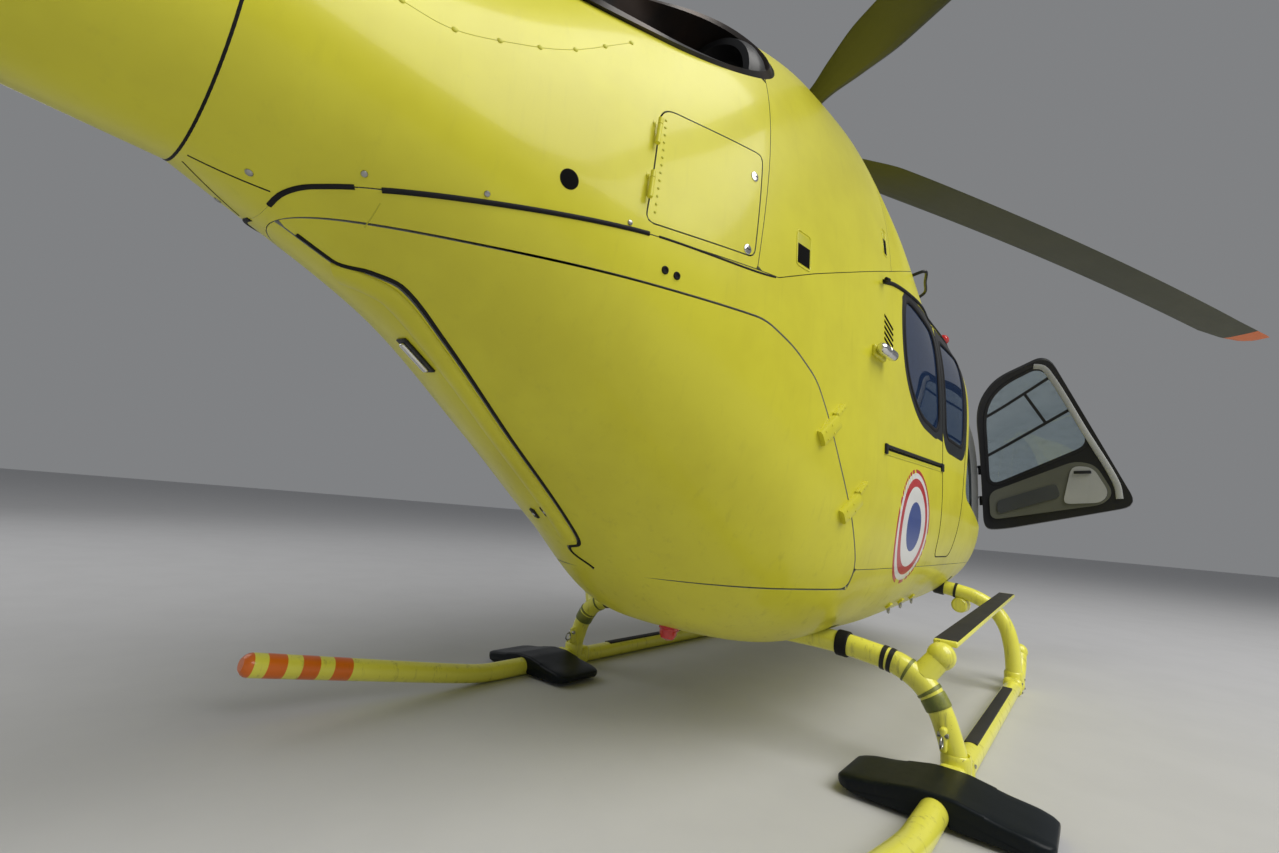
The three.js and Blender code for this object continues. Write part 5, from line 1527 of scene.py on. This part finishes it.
def emblem(piece, side):
    """A generic roundel painted on the side: five flat rings of the skin round one centre, each standing a
    hair proud."""
    centre = np.array([0.38, 1.00])
    for low, high, paint in ((0.262, 0.280, 0), (0.235, 0.262, 1), (0.195, 0.235, 0), (0.120, 0.195, 1),
                             (-1.0, 0.120, 2)):
        def region(p, low=low, high=high):
            r = np.linalg.norm(p[:, [0, 2]] - centre, axis=1)
            return np.minimum(np.minimum(high - r, r - low), side * p[:, 1])
        panel(piece, region, **FILM, outer=paint, inner=paint)
    return piece


pair("emblem", emblem, materials=["emblem red", "emblem white", "emblem blue"], closed=False)


def rail_slot(piece, side):
    """The sliding door's middle track: a dull band of painted shade where its channel lies, a hair proud of
    the side, with a near-black strip of painted shadow in it, a black bar along it, a yellow bead under it
    and a block at each end."""
    path = spread([(-0.15, 1.31), (0.91, 1.35)], 0.04)
    # The seam-yellow band is painted shade of the channel; the near-black strip is painted shadow in it.
    for up, profile, paint in (
            (0, flat_profile(0.050, 0.0016), SEAM_AND_SHADE), (0.015, flat_profile(0.014, 0.0065), BLACK),
            (0.002, flat_profile(0.012, 0.0022), SHADOW_BLACK), (-0.020, bead_profile(0.005, 0.003), YELLOW)):
        band(piece, path + (0, up), side, profile, paint=paint)
    for place, size in (((0.895, 1.350), 0.05), ((-0.14, 1.312), 0.024)):
        boss(piece, place, side, 0.002, (size, 0.046, 0.018), 0.005, BLACK)
    return piece


pair("rail_slot", rail_slot, materials=FITTINGS)


DRAIN = ((0, 0.0008), (0.0245, 0.0008), (0.026, 0.0006), (0.0265, -0.003), (0, -0.003))
GROMMET = ((0, 0.001), (0.005, 0.001), (0.007, 0.004), (0.010, 0.004), (0.012, 0.001), (0.012, -0.003),
           (0, -0.003))
LAMP = ((0, -0.085), (0.012, -0.083), (0.021, -0.073), (0.0235, -0.060), (0.0235, -0.02), (0.0215, -0.018),
        (0.0215, -0.012), (0.0235, -0.010), (0.0235, 0.055), (0.022, 0.066), (0.018, 0.071), (0, 0.073))


def flank_fittings(piece, side):
    """What sits on the flank behind the cabin: the drain hole as a near-black disc of painted shadow, two
    slots drawn as painted shade above painted shadow within a yellow rim, the slanted louvres as near-black
    lines of painted shadow, the riveted arc, the lamp on its foot, and the small studs of the deck line."""
    # The drain hole is a near-black disc of painted shadow standing a hair proud, not an opening.
    seated(piece, (-1.78, 1.77), side, DRAIN, 32, SHADOW_BLACK)
    # Each slot is flat: a seam-yellow band of painted shade over its height, near-black painted shadow over
    # its lower part, and a yellow rim.
    for x0, x1, z0, z1 in ((-0.925, -0.84, 1.845, 1.975), (-0.17, -0.12, 2.19, 2.32)):
        middle = [((x0 + x1) / 2, z0 + 0.01), ((x0 + x1) / 2, z1 - 0.01)]
        low = [middle[0], (middle[0][0], z0 + (z1 - z0) * 0.62)]
        band(piece, middle, side, flat_profile(x1 - x0, 0.0012), paint=SEAM_AND_SHADE)
        band(piece, low, side, flat_profile((x1 - x0) * 0.9, 0.0016), paint=SHADOW_BLACK)
        frame_line = rounded(np.array([(x0, z0), (x1, z0), (x1, z1), (x0, z1)]), 0.015)
        band(piece, frame_line, side, bead_profile(0.006, 0.003), True, YELLOW, step=0.008)
    # The louvres' openings are near-black beads of painted shadow.
    for k in range(5):
        z = 1.895 - k * 0.026
        band(piece, [(-0.185, z), (-0.065, z - 0.030)], side, bead_profile(0.013, 0.0030), paint=SHADOW_BLACK,
             step=0.01)
    arc = flowing(((-2.20, 2.00), (-2.10, 2.00), (-1.93, 2.07), (-1.80, 2.14), (-1.61, 2.29)), 60)
    rivets(piece, arc, side, 0.105, 0.0070, 0.0030, SEAM_AND_SHADE)
    band(piece, arc, side, bead_profile(0.0022, 0.0007), paint=SEAM_AND_SHADE)
    studs(piece, ((-2.18, 1.632), (-1.95, 1.668), (-1.60, 1.722)), side, 0.0075, 0.004, STEEL)
    for place in ((-1.47, 1.632), (-1.43, 1.628)):
        seated(piece, place, side, GROMMET, 20, RUBBER)
    lamp_foot = (-0.26, 1.70)
    boss(piece, lamp_foot, side, 0.004, (0.13, 0.050, 0.020), 0.009, YELLOW)
    foot, normal = boss(piece, lamp_foot, side, 0.020, (0.045, 0.030, 0.030), 0.010, YELLOW)
    return piece.add(*spun(LAMP, foot + normal * 0.040, np.roll(facing(normal), -1, 0), 28), BRIGHT)


pair("flank_fittings", flank_fittings, materials=FITTINGS)


LATCH = ((0, -0.003), (0.0165, -0.003), (0.0165, 0.0015), (0.015, 0.003), (0.0125, 0.0034), (0, 0.0034))


def hatch_fittings(piece, side):
    """The service hatch's row of rivets along its hinge edge and its two round quarter-turn latches."""
    rivets(piece, [(-1.530, 1.78), (-1.512, 2.075)], side, 0.024, 0.0042, 0.0022, SEAM_AND_SHADE)
    for place in ((-1.158, 2.06), (-1.178, 1.80)):
        seated(piece, place, side, LATCH, 28, BRIGHT)
        boss(piece, place, side, 0.0036, (0.019, 0.0030, 0.0016), 0.0006, BLACK)
    return piece


def tail_lines():
    """The joint ring between the body and the boom, the short seams under the tail, and their studs."""
    piece = Piece("tail_lines")
    turn = angles(120)
    joint = np.stack([np.full(120, TAIL_X + 0.0015), 0.2995 * np.cos(turn), 1.920 + 0.2995 * np.sin(turn)], 1)
    out = np.stack([0 * turn, np.cos(turn), np.sin(turn)], 1)
    piece.add(*sweep(joint, bead_profile(0.009, 0.0016, 0.002), out, closed=True), RUBBER)
    for side in (-1, 1):
        band(piece, [(-2.435, side * 0.020), (-2.30, side * 0.100)], 0, bead_profile(0.004, 0.0012),
             paint=RUBBER)
        stud(piece, *under_skin(-2.345, side * 0.105), 0.0085, 0.004, STEEL)
        band(piece, [(-2.13, side * 0.19), (-2.13, side * 0.25)], 0, bead_profile(0.003, 0.0008),
             paint=SEAM_AND_SHADE)
    piece.make(FITTINGS)


tail_lines()


pair("hatch_fittings", hatch_fittings, materials=FITTINGS, body=lambda w: f"service_{w}_body")


def lobe_seal():
    """The rear doors' lobed rubber on the starboard leaf, the broad rolled flange beside it on the port
    leaf, and the doors' handle and catches."""
    right, left = Piece("lobe_seal_right"), Piece("lobe_flange_left")
    for piece, xs, aside, width, height, paint in (
            (right, np.linspace(-2.215, -0.96, 130), -0.0105, 0.013, 0.0045, RUBBER),
            (left, np.linspace(-2.10, -1.12, 100), 0.050, 0.080, 0.013, YELLOW)):
        band(piece, np.stack([xs, SEAM(xs) + aside], 1), 0, bead_profile(width, height), paint=paint,
             step=0.012)
    for catch in ((-1.21, 0.16), (-1.24, 0.07)):
        point, normal = boss(left, catch, 0, 0.002, (0.05, 0.026, 0.012), 0.004, BLACK)
        stud(left, point + normal * 0.007, normal, 0.007, 0.003, BRIGHT)
    handle = (-1.83, 0.045)
    boss(left, handle, 0, 0.004, (0.13, 0.050, 0.008), 0.003, BLACK)
    boss(left, handle, 0, 0.012, (0.11, 0.022, 0.016), 0.006, BRIGHT)
    right.make(FITTINGS, "clamshell_right_body")
    left.make(FITTINGS, "clamshell_left_body")


lobe_seal()


def collar(piece, line, side, start, end, radius, paint):
    """A sleeve round a cross tube between two half widths, its ends drawn in."""
    run = line[line[:, 1] * side > 0]
    run = run[np.argsort(np.abs(run[:, 1]))]
    width = np.abs(run[:, 1])
    at = np.linspace(start, end, 14)
    path = np.stack([np.interp(at, width, run[:, k]) for k in range(3)], 1)
    size = np.full(14, radius)
    size[[0, -1]] -= min(0.002, radius * 0.05)
    piece.add(*sweep(path, circle(1, 36), (1, 0, 0), size), paint)


# Cross tube, start and end of the half width, radius, paint
COLLARS = (
    (aft_line, 0.575, 0.625, 0.0555, RUBBER), (aft_line, 0.765, 0.783, 0.0505, BLACK),
    (aft_line, 0.793, 0.811, 0.0505, BLACK), (aft_line, 0.815, 0.965, 0.0492, GEAR),
    (aft_line, 0.958, 0.985, 0.0515, GREEN), (aft_line, 0.862, 0.872, 0.0520, GREEN),
    (aft_line, 0.944, 0.952, 0.0520, GREEN), (front_line, 0.575, 0.640, 0.056, BLACK),
    (front_line, 0.700, 0.716, 0.0505, BLACK),
)
JOINT = ((0.049, -0.045), (0.052, -0.043), (0.0545, -0.02), (0.0545, 0.012), (0.052, 0.022), (0.0485, 0.026),
         (0.0455, 0.0), (0.049, -0.045))
CLAMP_BOLT = ((0, -0.01), (0.0075, -0.01), (0.0075, 0.004), (0.005, 0.0065), (0, 0.0065))


def tube_fittings(piece, side):
    """The sleeves, bands and joint on the cross tubes, the clamp at the skid, the eye bracket, and the
    tread strip on the skid."""
    for line, start, end, radius, paint in COLLARS:
        collar(piece, line, side, start, end, radius, paint)
    outwards = np.array([(1.0, 0, 0), (0, 0, -side), (0, side, 0)])
    for x, z in ((0.0, 0.112), (FRONT_TUBE_X, 0.115)):
        piece.add(*lathe(JOINT, (x, side * 1.0435, z), 36), GEAR)
        for across in (x - 0.078, x + 0.078):
            piece.add(*block((across, side * TRACK, SKID_HIGH + 0.007), (0.030, 0.106, 0.105), 0.030), GEAR)
            for up in (-0.026, 0.026):
                place = (across, side * (TRACK + 0.0505), SKID_HIGH + 0.006 + up)
                piece.add(*spun(CLAMP_BOLT, place, outwards, 12), STEEL)
    eye = np.array([-0.052, side * 1.010, 0.190])
    piece.add(*block(eye, (0.045, 0.026, 0.090), 0.010), GEAR)
    piece.add(*rod(eye + (-0.012, -0.020, 0.018), eye + (-0.012, 0.020, 0.018), 0.010, 14), STEEL)
    wire_eye(piece, eye + (-0.040, 0, -0.004), 0.020, 12, 28, STEEL)
    tread = flowing([(x, side * TRACK, SKID_HIGH + TUBE - 0.003) for x in (0.32, 0.8, 1.2, 1.62)], 60)
    return piece.add(*sweep(tread, flat_profile(0.050, 0.0050, 0.010), (0, 0, 1)), TREAD)


pair("gear_fittings", tube_fittings, materials=FITTINGS)


def deck_plate(piece, heights, start, end, wall, thick, paint):
    """A floor or ceiling inside the skin: at each x a closed section from wall to wall, all lofted."""
    xs = np.arange(start, end + 0.02, 0.04)
    z = heights(xs)
    half = skin_half(xs, z) - wall
    across = np.linspace(-1, 1, 25)
    section = np.concatenate([across, across[::-1]])
    drop = np.repeat([0, thick], 25)
    rings = np.stack([np.broadcast_to(xs[:, None], (len(xs), 50)), half[:, None] * section,
                      z[:, None] - drop], -1)
    piece.add(*loft(rings), paint)


def cabin_lining():
    """The cabin's floor, its ceiling under the engine deck, and the floor's tie-down rails."""
    piece = Piece("cabin_lining")
    deck_plate(piece, lambda x: 0 * x + FLOOR_Z - 0.002, -0.24, 2.58, 0.050, 0.012, DARK)
    deck_plate(piece, lambda x: DECK_Z(x) - 0.012, -2.25, 1.94, 0.047, 0.010, TRIM)
    for y in (-0.52, -0.17, 0.17, 0.52):
        piece.add(*block((0.62, y, FLOOR_Z), (1.6, 0.028, 0.009), 0.003), STEEL)
    piece.make(FITTINGS)


cabin_lining()


def window_surrounds():
    """The black painted frames round the side windows, a hair proud of the skin: each window grown by a
    margin, with the field between the rear window, the roof rail and the sliding door joined to them."""
    field = rounded(np.array([(0.16, 1.95), (0.10, 2.095), (0.50, 2.175), (1.00, 2.235), (1.00, 1.50),
                              (0.70, 1.50)]), 0.04)
    for word, side in SIDES:
        around_rear = [area(rear_window, side, 0.046), area(field, side)]
        rear = all_of(lambda p, parts=around_rear: np.maximum.reduce([r(p) for r in parts]),
                      none_of(area(rear_window, grow=0.001)), none_of(area(sliding_door, grow=0.004)))
        sliding = all_of(area(sliding_window, side, 0.085), none_of(area(sliding_window, grow=0.001)),
                         area(sliding_door, side, -0.006))
        for name, region in (("rear", rear), ("sliding", sliding)):
            panel(Piece(f"{name}_surround_{word}"), region, **FILM).make(["black paint"] * 2, closed=False)


window_surrounds()


def bar(piece, path, side, profile, depth, paint):
    """A bar along a line of the side view that lies at a depth behind the skin, its profile's top inwards."""
    points, normals = on_skin(*spread(path, 0.02).T, side)
    piece.add(*sweep(points - normals * depth, profile, normals), paint)


VENT_BARS = (((2.455, 1.917), (1.975, 2.211)), ((2.455, 1.620), (1.862, 1.971)),
             ((2.170, 2.090), (2.055, 1.856)))
# Outline, corner radius, thickness, depth behind the skin, paint
TRIM_PANELS = (
    (((2.45, 1.125), (2.45, 1.335), (1.90, 1.560), (1.785, 1.530), (1.700, 1.330), (1.760, 1.250)),
     0.06, 0.018, 0.034, OLIVE),
    (((1.99, 1.25), (1.92, 1.525), (1.80, 1.510), (1.725, 1.335), (1.765, 1.262)), 0.05, 0.012, 0.050, TRIM),
    (((2.40, 1.17), (2.40, 1.27), (2.02, 1.400), (2.00, 1.300)), 0.03, 0.010, 0.051, DARK),
)


def door_trim(word, side):
    """The inside of a pilot door: the frame's inner jamb, a pale strip along the rear edge, the sliding
    vent's bars across the window, and the lower panel with its pocket, pale end and lever."""
    piece = Piece(f"pilot_door_trim_{word}")
    jamb = np.vstack([pilot_window, pilot_window[:1]])
    bar(piece, jamb, side, bead_profile(0.020, 0.005, 0.028), 0.012, BLACK)
    rear = flowing(((2.090, 2.285), (2.035, 2.270), (1.990, 2.190), (1.835, 1.790), (1.680, 1.390),
                    (1.672, 1.290)), 60)
    bar(piece, rear, side, flat_profile(0.040, 0.010, 0.010) * (1, -1), 0.037, TRIM)
    for line in VENT_BARS:
        bar(piece, np.array(line), side, flat_profile(0.020, 0.010, 0.010), 0.016, BLACK)
    for outline, corner, thick, depth, paint in TRIM_PANELS:
        panel(piece, area(rounded(np.array(outline), corner), side), thick, -depth, paint, paint)
    boss(piece, (1.86, 1.475), side, -0.072, (0.10, 0.022, 0.014), 0.006, BLACK)
    opened(piece, side).make(FITTINGS, f"pilot_door_{word}_body", closed=False)


for trim_word, trim_side in SIDES:
    door_trim(trim_word, trim_side)


CAP = ((0, 0), (0.034, 0), (0.036, 0.012), (0.032, 0.030), (0.018, 0.042), (0, 0.045))
BEACON = ((0, -0.004), (0.046, -0.004), (0.046, 0.008), (0.040, 0.012), (0.038, 0.030), (0.028, 0.048),
          (0, 0.056))
DRUM = ((0, -0.055), (0.040, -0.054), (0.050, -0.045), (0.053, -0.02), (0.053, 0.035), (0.055, 0.040),
        (0.055, 0.050), (0.049, 0.052), (0.046, 0.046), (0, 0.046))
DRUM_LENS = ((0, 0.0462), (0.0455, 0.0462), (0.0455, 0.050), (0.030, 0.056), (0, 0.058))
DRUM_PLACE = (1.985, -0.735, 0.512)


def roof_and_belly():
    """The foot loops on the roof's edge, the red lamp cap over the front door, the blade aerial, the eyes
    and the lamp drum under the cabin, and the red beacon."""
    piece = Piece("roof_and_belly_fittings")
    for side in (-1, 1):
        (start, up), (stop, down) = (on_skin(x, 2.36, side) for x in (0.50, 0.86))
        forward = (stop - start) / np.linalg.norm(stop - start)
        loop = flowing([start, start + up * 0.052, start + up * 0.066 + forward * 0.014,
                        (start + stop) / 2 + (up + down) * 0.033, stop + down * 0.066 - forward * 0.014,
                        stop + down * 0.052, stop], 80)
        piece.add(*sweep(loop, circle(0.0085, 14), (0.1, 0.2, 1)), BLACK)
        seated(piece, (1.64, 2.335), side, CAP, 28, RED)
        for x in (0.55, 0.78, 1.02):
            point, _ = boss(piece, (x, side * 0.64), 0, 0.004, (0.050, 0.034, 0.012), 0.004, YELLOW)
            wire_eye(piece, point + (0, 0, -0.022), 0.017, 10, 24, STEEL)
    ahead = np.array([(0, 1.0, 0), (0, 0, 1.0), (1.0, 0, 0)])
    for rows, paint in ((DRUM, GEAR), (DRUM_LENS, CLEAR)):
        piece.add(*spun(rows, DRUM_PLACE, ahead, 36), paint)
    seated(piece, (-0.50, 0.0), 0, BEACON, 32, RED)
    aerial = rounded(np.array([(-0.09, 0.0), (-0.06, 0.19), (0.02, 0.19), (0.10, 0.0)]), 0.02)
    upright = np.array([(1.0, 0, 0), (0, 0, -1.0), (0, 1.0, 0)])
    piece.add(*slab(aerial, 0.008, 0.005, under_skin(1.30, 0.12)[0], upright), BLACK)
    piece.make(FITTINGS)


roof_and_belly()


# Seats

def pillow(name, centre, size, axes, crown, seams):
    """A closed cushion: both faces swell as a power of the distance from the border, the sides pull in
    between the corners by a square law, and sewn channels are narrow dips; a cord follows the border."""
    n, pull = 41, 0.05
    u, v = np.meshgrid(np.linspace(-1, 1, n), np.linspace(-1, 1, n), indexing="ij")
    swell = ((1 - np.abs(u) ** 8) * (1 - np.abs(v) ** 8)) ** 0.38
    over = size[2] / 2 * swell + crown * (1 - u * u) * (1 - v * v)
    for along, where in seams:
        over = over - 0.010 * np.exp(-(((u if along else v) - where) / 0.035) ** 2) * swell
    x = size[0] / 2 * u * (1 - pull * (1 - v * v))
    y = size[1] / 2 * v * (1 - pull * (1 - u * u))
    top, low = (np.stack([x, y, z], -1) @ axes + np.array(centre) for z in (over, -size[2] / 2 * swell))
    edge = np.concatenate([top[0, :-1], top[:-1, -1], top[-1, :0:-1], top[:0:-1, 0]])
    piece = Piece(name).add(top, sheet_faces(n, n)).add(low, sheet_faces(n, n)[:, ::-1])
    piece.add(*sweep(edge, circle(0.0042, 10), np.broadcast_to(axes[2], edge.shape), closed=True), 1)
    piece.make(["seat cloth", "seat edge"], slot="seat_cloth")


def leaning(a, b):
    """Directions of a pad that runs from a to b in the side view: along it, across, and out of it."""
    along = np.array([b[0] - a[0], 0, b[1] - a[1]])
    along /= np.linalg.norm(along)
    out = np.cross(along, (0, -1.0, 0))
    return np.stack([along, np.cross(out, along), out])


def seat_shell(name, outline, corner, low, high, node, sides=()):
    """A seat's hard shell: one outline of the side view carried across, with any side cheeks."""
    shell = Piece(name).add(*prism(rounded(np.array(outline), corner), low, high, 0.012), DARK)
    for y in sides:
        shell.add(*block((1.98, y, 1.07), (0.34, 0.018, 0.10), 0.008), DARK)
    shell.make(FITTINGS, replaces=[node], slot="seat_cloth")


# Sewn channels: 0 across or 1 along the pad, and where from its middle, as a share of the half size
PAD_CHANNELS, BACK_CHANNELS = ((0, -0.45), (0, 0.45)), ((1, -0.3), (1, 0.3))
BENCH_CHANNELS = ((0, -0.4), (0, 0.4))
SEAT_OUTLINE = ((2.155, 0.81), (2.145, 1.00), (2.195, 1.085), (1.90, 1.075), (1.80, 1.10), (1.72, 1.86),
                (1.70, 1.86), (1.765, 1.06), (1.80, 0.81))
BENCH_OUTLINE = ((0.855, 0.81), (0.865, 1.06), (0.54, 1.06), (0.47, 1.10), (0.395, 1.79), (0.366, 1.79),
                 (0.405, 1.10), (0.445, 0.81))


def pilot_seat(word, side):
    """A shell and three cushions: the pad, the back and the head rest."""
    y = side * 0.39
    seat_shell(f"seat_shell_{word}", SEAT_OUTLINE, 0.03, y - 0.195, y + 0.195, f"pilot_seat_{word}",
               (y - 0.205, y + 0.205))
    for name, centre, size, ends, channels, crown in (
            ("seat_pad", (2.045, y, 1.118), (0.32, 0.40, 0.075), ((1.9, 1.10), (2.2, 1.125)),
             PAD_CHANNELS, 0.020),
            ("back_pad", (1.825, y, 1.45), (0.60, 0.38, 0.070), ((1.862, 1.16), (1.785, 1.80)),
             BACK_CHANNELS, 0.016),
            ("head_pad", (1.775, y, 1.838), (0.14, 0.26, 0.065), ((1.784, 1.80), (1.776, 1.88)), (), 0.012)):
        pillow(f"{name}_{word}", centre, size, leaning(*ends), crown, channels)


def bench():
    """The rear bench: one shell, and a pad and a back for each of its three places."""
    seat_shell("bench_shell", BENCH_OUTLINE, 0.02, -0.595, 0.595, "rear_bench")
    for k, y in enumerate((-0.395, 0, 0.395), 1):
        for name, centre, size, ends, channels in (
                ("bench_pad", (0.705, y, 1.105), (0.37, 0.385, 0.075), ((0.54, 1.10), (0.88, 1.11)),
                 BENCH_CHANNELS),
                ("bench_back", (0.465, y, 1.46), (0.62, 0.385, 0.060), ((0.50, 1.15), (0.432, 1.78)),
                 ((1, 0),))):
            pillow(f"{name}_{k}", centre, size, leaning(*ends), 0.014, channels)


for seat_word, seat_side in SIDES:
    pilot_seat(seat_word, seat_side)
bench()


def panel_face():
    """The instrument panel's four screens in their frames, on its face towards the seats."""
    piece = Piece("panel_screens")
    out = np.array([-0.9908, 0, 0.1353])
    axes = np.stack([(0, -1.0, 0), np.cross(out, (0, -1.0, 0)), out])
    rise = axes[1] * 0.155 * (1 if axes[1][2] > 0 else -1)
    for y in (-0.33, -0.13, 0.13, 0.33):
        place = np.array([2.4605, 0, 1.190]) + axes[0] * -y + rise
        piece.add(*block(place, (0.17, 0.21, 0.016), 0.006, axes), DARK)
        piece.add(*block(place + out * 0.0068, (0.14, 0.17, 0.006), 0.003, axes), BLACK)
    piece.make(FITTINGS, slot="panel_plastic")


panel_face()


# Camera, light and floor

def camera():
    """The photograph's view: the eye's place on the drawing, then yaw, pitch and roll."""
    yaw, pitch, roll = (math.radians(v) for v in (39.1, 8.7, 4.87))
    ahead = np.array([math.cos(yaw) * math.cos(pitch), math.sin(yaw) * math.cos(pitch), math.sin(pitch)])
    right = np.array([math.sin(yaw), -math.cos(yaw), 0.0])
    over = np.cross(right, ahead)
    c, s = math.cos(roll), math.sin(roll)
    right, over = c * right + s * over, c * over - s * right
    data = bpy.data.cameras.new("view")
    data.sensor_width, data.lens = 36.0, 568 / 1279 * 36.0
    data.clip_start, data.clip_end = 0.05, 200.0
    eye = bpy.data.objects.new("view", data)
    turn = Matrix(np.stack([right, over, -ahead], 1).tolist()).to_4x4()
    eye.matrix_world = Matrix.Translation(np.array([-2.667, -1.495, 0.95]) + SHIFT) @ turn
    bpy.context.scene.collection.objects.link(eye)
    bpy.context.scene.camera = eye


def softbox(name, place, target, size, power, tint=(1.0, 1.0, 1.0)):
    """A round lamp at a place, turned to a target."""
    data = bpy.data.lights.new(name, "AREA")
    data.shape, data.size, data.energy, data.color = "DISK", size, power, tint
    lamp = bpy.data.objects.new(name, data)
    lamp.location = Vector(place)
    lamp.rotation_mode = "QUATERNION"
    lamp.rotation_quaternion = (Vector(target) - Vector(place)).to_track_quat("-Z", "Y")
    bpy.context.scene.collection.objects.link(lamp)


def studio():
    """A wide mid-grey floor, a pale surround, one large key lamp high to starboard and two weak fills."""
    softbox("key", (1.0, -11.0, 14.0), (0.0, 0, 1.2), 16.0, 3000, (1.0, 0.985, 0.95))
    softbox("fill", (-12.0, -7.0, 6.0), (0, 0, 1.5), 12.0, 40, (0.95, 0.97, 1.0))
    softbox("rim", (-4.0, 9.0, 8.0), (0, 0, 1.8), 9.0, 200)
    bpy.context.scene.view_settings.view_transform = "Standard"
    world = bpy.data.worlds.new("surround")
    world.use_nodes = True
    world.node_tree.nodes["Background"].inputs["Color"].default_value = (0.86, 0.88, 0.91, 1)
    world.node_tree.nodes["Background"].inputs["Strength"].default_value = 0.25
    bpy.context.scene.world = world
    a, r = angles(128), np.array([0.001, 2, 6, 14, 30, 60, 90])[:, None]
    points = np.stack([r * np.cos(a), r * np.sin(a), 0 * r * a - 0.0005], -1).reshape(-1, 3)
    mesh = bpy.data.meshes.new("floor")
    mesh.from_pydata(points.tolist(), [], ring_faces(7, 128)[:, ::-1].tolist())
    floor = bpy.data.objects.new("floor", mesh)
    bpy.context.scene.collection.objects.link(floor)
    finished("floor", (0.54, 0.54, 0.55), (0.50, 0.50, 0.51), 0.7, dirt=0.0, grain=60.0, relief=0.02)
    mesh.materials.append(MATERIALS["floor"])


def carried_over():
    """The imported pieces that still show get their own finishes."""
    finishes = {"machine_metal": "machine grey", "seat_cloth": "seat cloth", "panel_plastic": "dark trim"}
    for item in frame["nodes"].values():
        if item.hide_render:
            continue
        slot = next((s["material_slot"] for s in frame["record"]["subparts"] if s["node"] == item.name), "")
        item.data.materials.clear()
        item.data.materials.append(MATERIALS[finishes.get(slot, "machine grey")])


camera()
studio()
carried_over()
